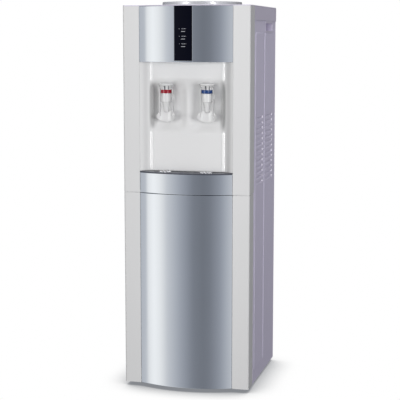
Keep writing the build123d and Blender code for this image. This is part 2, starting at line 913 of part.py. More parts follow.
def bottle_collar():
    """Glossy ring that guides the neck of the bottle, with a flared foot."""
    foot = collar_radius + collar_flare
    lip = collar_radius - collar_draft
    outline = [
        (seat_rim_radius + gap, cover_top), (foot, cover_top), (foot, cover_top + collar_flange / 2),
        (collar_radius + collar_foot, cover_top + collar_flange),
        (collar_radius, cover_top + 2 * collar_flange), (lip, collar_top - collar_edge),
        (lip - collar_edge, collar_top), (collar_inner + collar_edge, collar_top),
        (collar_inner, collar_top - collar_edge), (collar_inner, cover_top + collar_rebate),
        (seat_rim_radius + gap, cover_top + collar_rebate),
    ]
    return turned(outline, 0, bottle_y)


def bottle_seat():
    """Funnel that takes the shoulder of the bottle, with the tube of its neck."""
    top = cover_top + seat_rim
    cone_top = cover_top - seat_drop
    cone_low = cone_top - seat_cone
    neck_top = cone_low - neck_drop
    bottom = neck_top - neck_length
    inner = neck_radius - wall
    outline = [
        (seat_rim_radius, cover_top), (collar_inner - gap, cover_top), (collar_inner - seat_draft, cone_top),
        (seat_cone_radius, cone_low), (neck_radius, neck_top), (neck_radius, bottom), (inner - ledge, bottom),
        (inner - ledge, bottom + wall), (inner, bottom + wall), (inner, neck_top + wall),
        (seat_cone_radius - wall / 2, cone_low + wall),
        (collar_inner - seat_draft - wall, cone_top + wall / 2),
        (collar_inner - gap - wall, top), (seat_rim_radius, top),
    ]
    return turned(outline, 0, bottle_y)


def feed_spike():
    """Hollow spike that opens the bottle, on three arms in the neck of the seat."""
    bottom = cover_top - seat_drop - seat_cone - neck_drop - neck_length + wall
    reach = neck_radius - wall - gap
    bore = spike_radius - wall
    top = bottom + spike_height
    outline = [
        (bore, bottom), (spike_radius, bottom), (0.85 * spike_radius, top - spike_tip),
        (0.5 * bore, top), (0.3 * bore, top), (0.8 * bore, top - spike_tip - wall),
    ]
    spike = turned(outline, 0, bottle_y)
    high = bottom + spike_web
    for turn in range(3):
        arm = block(spike_radius - wall / 2, reach - wall / 2, -spike_web, spike_web, bottom, high)
        spike += Pos(0, bottle_y, 0) * Rot(0, 0, 120 * turn) * arm
    spike += rod_z(0, bottle_y, bottom, high, reach) - rod_z(0, bottle_y, bottom, high, reach - wall)
    window = block(-spike_radius, spike_radius, -spike_web, spike_web, 0, spike_height / 4)
    return spike - Pos(0, bottle_y, bottom + spike_height / 3) * window


def cold_tank():
    """Steel tank under the bottle seat, open at the top, with two spouts below."""
    y = bottle_y
    outside = rod_z(0, y, tank_bottom, tank_top, tank_radius)
    outside = fillet(outside.edges().filter_by(GeomType.CIRCLE).group_by(Axis.Z)[0], tank_bottom_round)
    inside = rod_z(0, y, tank_bottom + sheet, tank_top + tank_bottom_round, tank_radius - sheet)
    inside = fillet(inside.edges().filter_by(GeomType.CIRCLE).group_by(Axis.Z)[0], tank_bottom_round - sheet)
    tank = outside - inside
    low = foam_bottom - stub_length
    for x, sy in ((tap_spacing / 2, y), (feed_x, feed_y)):
        tank += rod_z(x, sy, low, tank_bottom + sheet, stub_radius)
        tank -= rod_z(x, sy, low, tank_bottom + 2 * sheet, stub_radius - sheet)
    return tank


def tank_foam():
    """Foam cup round the cold tank, open at the rear for the cold block."""
    y = bottle_y
    radius = tank_radius + gap + foam_thickness
    foam = rod_z(0, y, foam_bottom, tank_top, radius)
    foam -= rod_z(0, y, tank_bottom - gap, tank_top, tank_radius + gap)
    half = foam_window / 2
    foam -= block(-half, half, y + tank_radius / 2, y + radius, fan_z - half, tank_top)
    for x, sy in ((tap_spacing / 2, y), (feed_x, feed_y)):
        foam -= rod_z(x, sy, foam_bottom, tank_bottom, stub_radius + gap)
    return foam


def tank_bracket():
    """Cross-member between the side panels that carries the cold tank."""
    half = bracket_width / 2
    top = foam_bottom - gap
    bracket = block(-fit_half, fit_half, bottle_y - half, bottle_y + half, top - bracket_flange, top)
    inner = fit_half - sheet
    bracket -= block(-inner, inner, bottle_y - half, bottle_y + half, top - bracket_flange, top - sheet)
    for x, sy in ((tap_spacing / 2, bottle_y), (feed_x, feed_y)):
        bracket -= rod_z(x, sy, top - 2 * sheet, top + sheet, hose_radius + 2 * gap)
    return bracket


def cold_block():
    """Aluminium block with a saddle that lies against the tank."""
    half = cold_block_width / 2
    block_solid = block(-half, half, bottle_y, module_front - gap, fan_z - half, fan_z + half)
    return block_solid - rod_z(0, bottle_y, fan_z - half, fan_z + half, tank_radius + gap)


def peltier_module():
    """Cooling module between the block and the heat sink."""
    half = module_size / 2
    return block(-half, half, module_front, sink_front - gap, fan_z - half, fan_z + half)


def heat_sink():
    """Finned heat sink, its fins upright."""
    half = sink_size / 2
    low = fan_z - half
    high = fan_z + half
    pitch = (sink_size - fin_thickness) / (fin_count - 1)
    fins = []
    for fin in range(fin_count):
        x = fin * pitch - half
        fins.append(block(x, x + fin_thickness, sink_front, sink_front + sink_length, low, high))
    return block(-half, half, sink_front, sink_front + sink_base, low, high) + fins


def fan_frame():
    """Square fan housing with its bore, three struts and the motor cup."""
    half = fan_size / 2
    frame = block(-half, half, fan_front, rear_fit, fan_z - half, fan_z + half)
    frame = fillet(frame.edges().filter_by(Axis.Y), fan_wall)
    frame -= rod_y(0, fan_z, fan_front, rear_fit, fan_bore)
    back = fan_front + fan_wall
    cup = rod_y(0, fan_z, fan_front, back, fan_hub)
    for turn in range(3):
        strut = block(fan_hub - fan_wall, fan_bore + fan_wall / 2, fan_front, back, -fan_wall, fan_wall)
        cup += Pos(0, 0, fan_z) * Rot(0, 120 * turn + 90, 0) * strut
    axle = rod_y(0, fan_z, fan_front, fan_front + fan_axle, fan_wall)
    return frame + cup + axle


def fan_rotor():
    """Hub and blades of the fan, on the axle of the frame."""
    front = fan_front + fan_wall + gap
    back = rear_fit - fan_wall
    hub = rod_y(0, fan_z, front, back, fan_hub)
    hub -= rod_y(0, fan_z, front, fan_front + fan_axle + gap, fan_wall + pin_fit)
    tip = fan_bore - fan_tip_gap
    chord = (back - front) / 2 - fan_blade_edge
    blades = []
    for turn in range(fan_blades):
        root = block(fan_hub - fan_wall, tip + fan_wall, -chord, chord, -fan_wall / 3, fan_wall / 3)
        blade = Rot(0, 360 * turn / fan_blades, 0) * (Rot(fan_blade_tilt, 0, 0) * root)
        blades.append(Pos(0, (front + back) / 2, fan_z) * blade)
    sweep_space = rod_y(0, fan_z, front + fan_blade_edge, back - fan_blade_edge, tip)
    return hub + [blade & sweep_space for blade in blades]


def hot_tank():
    """Closed steel tank for hot water on three welded legs, with its spouts."""
    x, y = hot_tank_x, hot_tank_y
    tank = rod_z(x, y, hot_tank_bottom, hot_tank_top, hot_tank_radius)
    tank = fillet(tank.edges().filter_by(GeomType.CIRCLE), tank_bottom_round)
    inside = rod_z(x, y, hot_tank_bottom + sheet, hot_tank_top - sheet, hot_tank_radius - sheet)
    inside = fillet(inside.edges().filter_by(GeomType.CIRCLE), tank_bottom_round - sheet)
    for turn in range(3):
        angle = radians(120 * turn - 90)
        lx = x + 0.7 * hot_tank_radius * cos(angle)
        ly = y + 0.7 * hot_tank_radius * sin(angle)
        tank += rod_z(lx, ly, shelf_top, hot_tank_bottom + tank_bottom_round, 2 * hot_leg_thickness)
    spouts = [
        (-tap_spacing / 2, y, hot_tank_top - tank_bottom_round, hot_tank_top + stub_length),
        (feed_x, feed_y, hot_tank_top - tank_bottom_round, hot_tank_top + stub_length),
        (x, y, hot_tank_bottom - stub_length, hot_tank_bottom + sheet),
    ]
    for sx, sy, low, high in spouts:
        tank += rod_z(sx, sy, low, high, stub_radius)
    tank -= inside
    for sx, sy, low, high in spouts:
        tank -= rod_z(sx, sy, low - sheet, high + sheet, stub_radius - sheet)
    return tank


def heater_band():
    """Heating band clamped round the hot tank, with its clamp ears."""
    x, y = hot_tank_x, hot_tank_y
    low = hot_tank_bottom + band_rise
    outer = hot_tank_radius + gap + band_thickness
    band = rod_z(x, y, low, low + band_height, outer)
    ear = y + outer + ear_reach
    half = ear_width / 2
    inset = low + ear_inset
    band += block(x - half, x + half, y + hot_tank_radius, ear, inset, low + band_height - ear_inset)
    band -= rod_z(x, y, low, low + band_height, hot_tank_radius + gap)
    return band - block(x - ear_slot / 2, x + ear_slot / 2, y, ear + wall, low, low + band_height)


def hot_thermostats():
    """Working and safety thermostats on top of the hot tank."""
    low = hot_tank_top + gap
    high = low + thermostat_height
    solids = []
    for dx, dy in thermostat_offsets:
        x = hot_tank_x + dx
        y = hot_tank_y + dy
        body = rod_z(x, y, low, high, thermostat_radius)
        body += rod_z(x, y, high, high + terminal_height, thermostat_radius / 2)
        solids.append(body.solid())
    return Compound(children=solids)


def bent_hose(x, y, z_from, z_to):
    """Hose from a tap tail back along Y, then up or down to a spout."""
    line = FilletPolyline((x, hose_start, z_from), (x, y, z_from), (x, y, z_to), radius=hose_bend)
    start = Plane(origin=(x, hose_start, z_from), z_dir=(0, 1, 0))
    return sweep(start * (Circle(hose_radius) - Circle(hose_bore)), path=line)


def cold_tap_hose():
    """Hose from the cold tank to the cold tap."""
    return bent_hose(tap_spacing / 2, bottle_y, shank_z, foam_bottom - sheet)


def hot_tap_hose():
    """Hose from the hot tank to the hot tap."""
    return bent_hose(-tap_spacing / 2, hot_tank_y, shank_z, hot_tank_top + gap)


def hot_feed_hose():
    """Straight hose from the cold tank down to the hot tank."""
    low = hot_tank_top + gap
    high = foam_bottom - sheet
    return rod_z(feed_x, feed_y, low, high, hose_radius) - rod_z(feed_x, feed_y, low, high, hose_bore)


def drain_pipe():
    """Drain from the foot of the hot tank to the rear panel."""
    x, y = hot_tank_x, hot_tank_y
    z = shelf_top + drain_rise
    top = hot_tank_bottom - gap
    line = FilletPolyline((x, y, top), (x, y, z), (x, rear_face, z), radius=hose_bend)
    pipe = sweep(Plane(origin=(x, y, top), z_dir=(0, 0, -1)) * Circle(hose_radius), path=line)
    pipe -= rod_z(x, y, hot_tank_bottom - stub_length - gap, hot_tank_bottom, hose_bore)
    return pipe + rod_y(x, z, rear_face - wall, rear_face + drain_cap_depth - wall, hose_radius)


def drain_cap():
    """Ribbed cap on the drain."""
    x = hot_tank_x
    z = shelf_top + drain_rise
    low = rear_face + gap
    cap = rod_y(x, z, low, low + drain_cap_depth, drain_cap_radius)
    cap -= rod_y(x, z, low, low + drain_cap_depth - wall + gap, hose_radius + pin_fit)
    notches = []
    for turn in range(notch_count):
        angle = radians(360 * turn / notch_count)
        nx = x + drain_cap_radius * cos(angle)
        nz = z + drain_cap_radius * sin(angle)
        notches.append(rod_y(nx, nz, low, low + drain_cap_depth, notch_radius))
    return cap - notches


def power_supply():
    """Metal-cased supply of the cooling module, on the shelf."""
    wide, deep, tall = supply_size
    top = shelf_top + tall
    front = supply_y - deep / 2
    case = block(supply_x - wide / 2, supply_x + wide / 2, front, front + deep, shelf_top, top)
    case = fillet(case.edges().filter_by(Axis.Z), 2 * sheet)
    vents = []
    reach = wide / 3
    for row in range(vent_count):
        y = front + (row + 1) * deep / (vent_count + 1)
        low = y - vent_width / 2
        vents.append(block(supply_x - reach, supply_x + reach, low, low + vent_width, top - 2 * sheet, top))
    return case - vents


def power_board():
    """Control board on four posts."""
    wide, deep = control_size
    low = shelf_top + control_post
    x0 = control_x - wide / 2
    y0 = control_y - deep / 2
    board = block(x0, x0 + wide, y0, y0 + deep, low, low + board_thickness)
    for x in (x0 + post_inset, x0 + wide - post_inset):
        for y in (y0 + post_inset, y0 + deep - post_inset):
            board += rod_z(x, y, shelf_top, low, post_radius)
    top = low + board_thickness
    for (px, py), (length, depth, height) in ((relay_place, relay_size), (plate_place, plate_size)):
        board += block(x0 + px, x0 + px + length, y0 + py, y0 + py + depth, top, top + height)
    radius, height = capacitor_size
    return board + rod_z(x0 + capacitor_place[0], y0 + capacitor_place[1], top, top + height, radius)


def power_inlet():
    """Appliance inlet in the rear panel with three blades in its socket."""
    wide, tall = inlet_size
    z = shelf_top + inlet_rise
    flange = block(
        inlet_x - wide / 2 - inlet_flange, inlet_x + wide / 2 + inlet_flange, rear_face, rear_face + wall,
        z - tall / 2 - inlet_flange, z + tall / 2 + inlet_flange,
    )
    flange = fillet(flange.edges().filter_by(Axis.Y), inlet_flange / 2)
    front = rear_face - inlet_depth
    body = block(inlet_x - wide / 2, inlet_x + wide / 2, front, rear_face, z - tall / 2, z + tall / 2)
    half = wide / 2 - inlet_wall
    rise = tall / 2 - inlet_wall
    mouth = rear_face + 2 * wall
    socket = block(inlet_x - half, inlet_x + half, front + inlet_wall, mouth, z - rise, z + rise)
    inlet = flange + body - socket
    tip = rear_face - inlet_depth / 3
    for dx, dz in ((-blade_spread, -blade_rise), (0, blade_rise), (blade_spread, -blade_rise)):
        x0 = inlet_x + dx - blade_size[0] / 2
        z0 = z + dz - blade_size[1] / 2
        inlet += block(x0, x0 + blade_size[0], front + inlet_wall / 2, tip, z0, z0 + blade_size[1])
    return inlet


def switch_places():
    """X of each rocker switch, hot first."""
    return (switch_x - switch_pitch / 2, switch_x + switch_pitch / 2)


def switch_bezel():
    """Housing of the two rocker switches."""
    wide, tall = switch_size
    z = shelf_top + switch_rise
    reach = switch_pitch / 2 + wide / 2
    rim = block(
        switch_x - reach - switch_rim, switch_x + reach + switch_rim, rear_face, rear_face + wall,
        z - tall / 2 - switch_rim, z + tall / 2 + switch_rim,
    )
    rim = fillet(rim.edges().filter_by(Axis.Y), switch_rim / 2)
    front = rear_face - switch_depth
    bezel = rim + block(switch_x - reach, switch_x + reach, front, rear_face, z - tall / 2, z + tall / 2)
    half = wide / 2 - sheet
    rise = tall / 2 - sheet
    for x in switch_places():
        bezel -= block(x - half, x + half, front + wall, rear_face + 2 * wall, z - rise, z + rise)
        bezel += rod_x(rocker_axis, z, x - wide / 2, x + wide / 2, rocker_pin)
    return bezel


def switch_rocker(x):
    """Rocker on its pin, peaked outwards so that either end can be pressed in."""
    wide, tall = switch_size
    z = shelf_top + switch_rise
    half = tall / 2 - sheet - rocker_clearance
    tilt = half * sin(radians(rocker_swing))
    face = rear_face + wall + rocker_proud
    back = rocker_axis - 2 * rocker_pin
    side = rocker_axis - rocker_pin
    shoulder = face - tilt - rocker_proud / 2
    outline = [
        (side, z - 0.8 * half), (shoulder, z - half + rocker_edge), (face - tilt, z - half + 2 * rocker_edge),
        (face, z), (face - tilt, z + half - 2 * rocker_edge), (shoulder, z + half - rocker_edge),
        (side, z + 0.8 * half), (back, z + rocker_root), (back, z - rocker_root),
    ]
    width = wide / 2 - sheet - rocker_clearance / 2
    profile = make_face(Polyline(*outline, close=True))
    rocker = Pos(x - width, 0, 0) * extrude(Plane.YZ * profile, 2 * width)
    return rocker - rod_x(rocker_axis, z, x - wide, x + wide, rocker_pin + pin_fit)


hot_x, cold_x = tap_places()
hot_switch_x, cold_switch_x = switch_places()
grip = hand_grip()
right_panel = right_side_panel()

pieces = {
    "base_pan": base_pan(),
    "feet": feet(),
    "right_side_panel": right_panel,
    "left_side_panel": other_side(right_panel),
    "hand_grips": Compound(children=[grip.solid(), other_side(grip).solid()]),
    "rear_panel": rear_panel(),
    "rear_screws": rear_screws(),
    "mid_shelf": mid_shelf(),
    "upper_hinge_bracket": upper_hinge_bracket(),
    "lower_hinge_bracket": lower_hinge_bracket(),
    "door_catch": door_catch(),
    "door_shell": door_shell(),
    "door_panel": door_panel(),
    "door_liner": door_liner(),
    "upper_front_shell": upper_front_shell(),
    "upper_fascia": upper_fascia(),
    "display_window": display_window(),
    "indicator_lights": indicator_lights(),
    "display_board": display_board(),
    "niche_panel": niche_panel(),
    "hot_tap_body": tap_body(hot_x),
    "hot_tap_ring": tap_ring(hot_x),
    "hot_tap_cap": tap_cap(hot_x),
    "hot_tap_lever": tap_lever(hot_x),
    "hot_tap_plunger": tap_plunger(hot_x),
    "cold_tap_body": tap_body(cold_x),
    "cold_tap_ring": tap_ring(cold_x),
    "cold_tap_cap": tap_cap(cold_x),
    "cold_tap_lever": tap_lever(cold_x),
    "cold_tap_plunger": tap_plunger(cold_x),
    "tap_nuts": tap_nuts(),
    "drip_tray": drip_tray(),
    "tray_front": tray_front(),
    "drip_grid": drip_grid(),
    "top_cover": top_cover(),
    "bottle_collar": bottle_collar(),
    "bottle_seat": bottle_seat(),
    "feed_spike": feed_spike(),
    "cold_tank": cold_tank(),
    "tank_foam": tank_foam(),
    "tank_bracket": tank_bracket(),
    "cold_block": cold_block(),
    "peltier_module": peltier_module(),
    "heat_sink": heat_sink(),
    "fan_frame": fan_frame(),
    "fan_rotor": fan_rotor(),
    "hot_tank": hot_tank(),
    "heater_band": heater_band(),
    "hot_thermostats": hot_thermostats(),
    "cold_tap_hose": cold_tap_hose(),
    "hot_tap_hose": hot_tap_hose(),
    "hot_feed_hose": hot_feed_hose(),
    "drain_pipe": drain_pipe(),
    "drain_cap": drain_cap(),
    "power_supply": power_supply(),
    "power_board": power_board(),
    "power_inlet": power_inlet(),
    "switch_bezel": switch_bezel(),
    "hot_switch_rocker": switch_rocker(hot_switch_x),
    "cold_switch_rocker": switch_rocker(cold_switch_x),
}

for name, shape in pieces.items():
    export_step(shape, f"parts/{name}.step")
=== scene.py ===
"""Looks of a floor-standing water cooler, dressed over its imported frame.

Sizes are in metres, in the frame's own axes: X points to the right of someone facing the cooler, the front
faces -Y, Z points up, and the origin is on the floor under the middle of the outline.
"""

import json
import logging
import math
from dataclasses import dataclass, field, replace
from enum import Enum
from functools import cache
from typing import Any

import bmesh
import bpy
import numpy as np
from mathutils import Matrix, Vector

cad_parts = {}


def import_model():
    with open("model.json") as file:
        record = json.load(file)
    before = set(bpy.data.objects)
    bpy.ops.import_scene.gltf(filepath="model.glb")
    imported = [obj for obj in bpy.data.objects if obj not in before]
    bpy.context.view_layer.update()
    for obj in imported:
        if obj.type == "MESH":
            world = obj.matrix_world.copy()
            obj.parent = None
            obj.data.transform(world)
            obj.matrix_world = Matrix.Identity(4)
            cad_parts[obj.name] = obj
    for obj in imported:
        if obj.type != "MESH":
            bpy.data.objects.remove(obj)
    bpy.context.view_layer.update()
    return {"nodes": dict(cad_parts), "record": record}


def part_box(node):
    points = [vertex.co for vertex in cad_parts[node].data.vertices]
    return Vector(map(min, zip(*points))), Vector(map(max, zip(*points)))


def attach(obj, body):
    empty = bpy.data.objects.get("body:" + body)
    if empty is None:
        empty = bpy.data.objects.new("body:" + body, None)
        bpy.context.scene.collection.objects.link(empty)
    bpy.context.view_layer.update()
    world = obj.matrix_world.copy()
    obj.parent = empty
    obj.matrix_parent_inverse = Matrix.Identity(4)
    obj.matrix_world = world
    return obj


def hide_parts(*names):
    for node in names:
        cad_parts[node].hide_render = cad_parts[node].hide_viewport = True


LOG = logging.getLogger("water_cooler")
SLOPE_SHADE_ATTRIBUTE = "painted_slope_shade"
GAP = 0.0003
WALL = 0.0025
TINY = 1e-9
MERGE = 1e-6
LEFT_AND_RIGHT = (-1.0, 1.0)
SIDE_SHARE = 0.45
FLAT_RING = 1.4
RIM_SHARE = 0.4
BRUSH_LENGTH = 60.0
DRIFT_SCALE = 7.0
DRIFT_ROUGHNESS = 0.08
GRAIN_ROUGHNESS = 0.06
DUST_ROUGHNESS = 0.08
DUST_HEIGHT = 0.25
DUST_SHARE = 0.12
DUST_TONE = 0.82
PLAIN = (1.0, 1.0, 1.0, 1.0)


class Term:
    """A value of a node tree that takes part in Python expressions."""

    def __init__(self, tree: "NodeTree", socket: bpy.types.NodeSocket) -> None:
        """Wraps one output socket of a tree."""
        self.tree = tree
        self.socket = socket

    def math(self, operation: str, first: Any, second: Any) -> "Term":
        """Adds one Math node.

        Args:
            operation: Name of the node's operation.
            first: First operand, a term or a number.
            second: Second operand, a term or a number.

        Returns:
            The node's value.
        """
        return self.tree.node("ShaderNodeMath", {"operation": operation}, {0: first, 1: second})

    def __add__(self, other: Any) -> "Term":
        """Sum."""
        return self.math("ADD", self, other)

    __radd__ = __add__

    def __sub__(self, other: Any) -> "Term":
        """Difference."""
        return self.math("SUBTRACT", self, other)

    def __rsub__(self, other: Any) -> "Term":
        """Difference from a number."""
        return self.math("SUBTRACT", other, self)

    def __mul__(self, other: Any) -> "Term":
        """Product."""
        return self.math("MULTIPLY", self, other)

    __rmul__ = __mul__

    def ramp(self, low: float, high: float) -> "Term":
        """Smooth step from zero at low to one at high."""
        settings = {"interpolation_type": "SMOOTHSTEP"}
        return self.tree.node("ShaderNodeMapRange", settings, {0: self, 1: low, 2: high})


class NodeTree:
    """Node tree of one material or world while it is made."""

    def __init__(self, tree: bpy.types.NodeTree) -> None:
        """Empties the tree."""
        self.tree = tree
        tree.nodes.clear()

    def node(self, kind: str, settings: dict | None = None, inputs: dict | None = None,
             output: int | str = 0) -> Term:
        """Adds one node.

        Args:
            kind: Blender's name of the node's type.
            settings: Properties that are set first; stops holds a ramp's places and levels.
            inputs: Values or terms of the sockets, by name or number.
            output: Name or number of the socket that is given back.

        Returns:
            The chosen output.
        """
        made = self.tree.nodes.new(kind)
        for name, value in (settings or {}).items():
            if name == "stops":
                self.set_stops(made.color_ramp, value)
            else:
                setattr(made, name, value)
        for key, value in (inputs or {}).items():
            if isinstance(value, Term):
                self.tree.links.new(value.socket, made.inputs[key])
            else:
                made.inputs[key].default_value = value
        return Term(self, made.outputs[output])

    def set_stops(self, ramp: bpy.types.ColorRamp, stops: list[tuple[float, float]]) -> None:
        """Gives a grey ramp its places and levels.

        Args:
            ramp: The node's ramp, which starts with two stops.
            stops: Pairs of place and level.
        """
        for place, _ in stops[1:-1]:
            ramp.elements.new(place)
        for element, (place, level) in zip(ramp.elements, stops):
            element.position = place
            element.color = (level, level, level, 1.0)

    def mix(self, factor: Any, first: Any, second: Any) -> Term:
        """Colour between two colours."""
        return self.node("ShaderNodeMix", {"data_type": "RGBA"}, {0: factor, 6: first, 7: second}, 2)

    def finish(self, kind: str, surface: Term) -> None:
        """Joins a shader to the tree's output node of this kind."""
        target = self.tree.nodes.new(kind)
        self.tree.links.new(surface.socket, target.inputs["Surface"])


class Grain(Enum):
    """Pattern that a finish shows at close range."""

    MOULDED = "fine spark texture of a moulding"
    POWDER = "orange peel of a powder coat"
    FLAKE = "metal flakes under a clear coat"
    BRUSHED = "lines of brushed metal"
    SPANGLE = "crystals of a zinc coat"
    BEADS = "beads of expanded foam"
    TRACKS = "copper tracks of a circuit board"


@dataclass(frozen=True)
class Finish:
    """One surface finish, made as a procedural material."""

    slot: str
    colour: tuple[float, float, float]
    roughness: float
    grain: Grain = Grain.MOULDED
    size: float = 0.0007
    depth: float = 0.00002
    metallic: float = 0.0
    coat: float = 0.0
    specular: float = 0.5
    variation: float = 0.03
    label: str = ""
    # Darker tone painted where a piece falls back steeply, as painted shade; one paints none.
    painted_shade_tone: float = 1.0

    def tone(self, factor: float) -> tuple[float, float, float, float]:
        """The colour made lighter or darker."""
        return tuple(min(1.0, c * factor) for c in self.colour) + (1.0,)

    def pattern(self, tree: NodeTree, place: Term) -> Term:
        """Height of the close-range pattern, from zero to one.

        Args:
            tree: Tree that gets the nodes.
            place: Object coordinates.

        Returns:
            The pattern's value.
        """
        scale = 1.0 / self.size
        if self.grain is Grain.BRUSHED:
            stretch = {"Vector": place, "Scale": (scale, scale, scale / BRUSH_LENGTH)}
            lines = tree.node("ShaderNodeMapping", None, stretch)
            return tree.node("ShaderNodeTexNoise", None, {"Vector": lines, "Scale": 1.0, "Detail": 3.0})
        if self.grain is Grain.SPANGLE:
            cells = tree.node("ShaderNodeTexVoronoi", None, {"Vector": place, "Scale": scale}, "Color")
            return tree.node("ShaderNodeSeparateColor", None, {0: cells})
        if self.grain is Grain.BEADS:
            settings = {"feature": "SMOOTH_F1"}
            return 1.0 - tree.node("ShaderNodeTexVoronoi", settings, {"Vector": place, "Scale": scale})
        if self.grain is Grain.TRACKS:
            settings = {"wave_type": "BANDS", "bands_direction": "DIAGONAL"}
            inputs = {"Vector": place, "Scale": scale, "Distortion": 6.0, "Detail": 0.0}
            return tree.node("ShaderNodeTexWave", settings, inputs).ramp(0.55, 0.65)
        detail = 1.0 if self.grain is Grain.POWDER else 3.0
        return tree.node("ShaderNodeTexNoise", None, {"Vector": place, "Scale": scale, "Detail": detail})

    def material(self) -> bpy.types.Material:
        """The finish as a material, made once.

        The colour drifts slowly over the piece and with the grain, it is a little duller towards the floor,
        and the roughness follows both. Where a finish has a painted shade tone, the colour darkens towards it
        by the piece's attribute of how sharply each place falls back: painted shade.

        Returns:
            The material.
        """
        name = (self.label or self.slot) + "_finish"
        found = bpy.data.materials.get(name)
        if found:
            return found
        material = bpy.data.materials.new(name)
        material.use_nodes = True
        tree = NodeTree(material.node_tree)
        place = tree.node("ShaderNodeTexCoord", None, None, "Object")
        drift = tree.node("ShaderNodeTexNoise", None, {"Vector": place, "Scale": DRIFT_SCALE, "Detail": 2.0})
        grain = self.pattern(tree, place)
        height = tree.node("ShaderNodeSeparateXYZ", None, {0: place}, 2)
        dust = (1.0 - height.ramp(0.0, DUST_HEIGHT)) * drift
        light = self.tone(1.0 + self.variation)
        dark = self.tone(1.0 - self.variation)
        shade = tree.mix(drift * 0.5 + grain * 0.5, dark, light)
        shade = tree.mix(dust * DUST_SHARE, shade, self.tone(DUST_TONE))
        # Painted shade: the colour darkens where the piece's attribute says it falls back steeply.
        if self.painted_shade_tone < 1.0:
            painted_slope_shade = tree.node("ShaderNodeAttribute", {"attribute_name": SLOPE_SHADE_ATTRIBUTE}, None, "Fac")
            shade = tree.mix(painted_slope_shade, shade, self.tone(self.painted_shade_tone))
        rough = (drift - 0.5) * DRIFT_ROUGHNESS + (grain - 0.5) * GRAIN_ROUGHNESS
        rough = rough + dust * DUST_ROUGHNESS + self.roughness
        bump = tree.node("ShaderNodeBump", None, {"Strength": 0.5, "Distance": self.depth, "Height": grain})
        surface = tree.node("ShaderNodeBsdfPrincipled", None, {
            "Base Color": shade, "Roughness": rough, "Metallic": self.metallic, "Normal": bump,
            "Coat Weight": self.coat, "Coat Roughness": 0.06, "Specular IOR Level": self.specular,
        })
        tree.finish("ShaderNodeOutputMaterial", surface)
        return material


WHITE = Finish("white_plastic", (0.80, 0.80, 0.80), 0.22, size=0.0009, depth=0.000008, variation=0.012)
# Niche white with painted shade where the wall falls back steeply.
NICHE_PAINTED_SHADE = replace(WHITE, label="niche_white_painted_shade", painted_shade_tone=0.75)
PRINT = Finish("white_plastic", (0.55, 0.56, 0.60), 0.5, label="printed_mark")
# Lighter white for thin sheets along the niche's upright edges: a painted highlight, with painted shade where
# they fall back steeply.
EDGE_HIGHLIGHT = Finish("white_plastic", (0.84, 0.84, 0.84), 0.2, depth=0.000004, label="painted_edge_highlight", painted_shade_tone=0.6)
SILVER = Finish("silver_plastic", (0.77, 0.80, 0.83), 0.10, Grain.FLAKE, 0.0005, 0.000003, 1.0,
                variation=0.02)
COLLAR = Finish("collar_silver", (0.74, 0.74, 0.76), 0.24, Grain.FLAKE, 0.0005, 0.000003, 0.45,
                variation=0.02)
DROPS = Finish("collar_silver", (0.92, 0.92, 0.93), 0.14, Grain.FLAKE, depth=0.000003, metallic=0.6,
               label="drop_rib")
STRIP = Finish("strip_black", (0.0015, 0.0018, 0.007), 0.12, size=0.002, depth=0.000003, specular=0.12)
LENS = Finish("lamp_lens", (0.16, 0.17, 0.20), 0.15, depth=0.000002, coat=0.3)
GREY = Finish("grey_plastic", (0.70, 0.66, 0.79), 0.36, depth=0.00001, variation=0.02)
SIDE = Finish("side_paint", (0.74, 0.70, 0.86), 0.42, Grain.POWDER, 0.0012, variation=0.02)
# Lighter copy of the side paint for the louvres' rear ends: a painted highlight.
LOUVRE_HIGHLIGHT = Finish("side_paint", (0.92, 0.90, 0.95), 0.3, Grain.POWDER, 0.0012, 0.00001, label="louvre_end_painted_highlight")
ZINC = Finish("galvanised_steel", (0.62, 0.63, 0.65), 0.38, Grain.SPANGLE, 0.012, 0.000004, 0.9,
              variation=0.12)
STAINLESS = Finish("stainless_steel", (0.66, 0.66, 0.66), 0.28, Grain.BRUSHED, 0.0006, 0.000006, 1.0,
                   variation=0.06)
ALUMINIUM = Finish("aluminium", (0.74, 0.75, 0.77), 0.32, Grain.BRUSHED, 0.0008, 0.000006, 1.0,
                   variation=0.05)
RED = Finish("hot_red", (0.32, 0.002, 0.015), 0.2, depth=0.000004, coat=0.2)
BLUE = Finish("cold_blue", (0.004, 0.045, 0.20), 0.2, depth=0.000004, coat=0.2)
GRID = Finish("grid_grey", (0.09, 0.095, 0.12), 0.3, depth=0.00001)
BLACK = Finish("black_plastic", (0.022, 0.022, 0.024), 0.42, depth=0.00003, variation=0.1)
FOAM = Finish("foam", (0.86, 0.85, 0.82), 0.85, Grain.BEADS, 0.004, 0.0003)
CERAMIC = Finish("ceramic", (0.85, 0.85, 0.83), 0.5)
HOSE = Finish("silicone", (0.72, 0.72, 0.69), 0.35, depth=0.00001, coat=0.1)
BOARD = Finish("circuit_board", (0.03, 0.16, 0.06), 0.35, Grain.TRACKS, 0.02, 0.00004, variation=0.25)
FINISHES = {finish.slot: finish for finish in (
    WHITE, SILVER, COLLAR, STRIP, LENS, GREY, SIDE, ZINC, STAINLESS, ALUMINIUM, RED, BLUE, GRID, BLACK, FOAM,
    CERAMIC, HOSE, BOARD,
)}


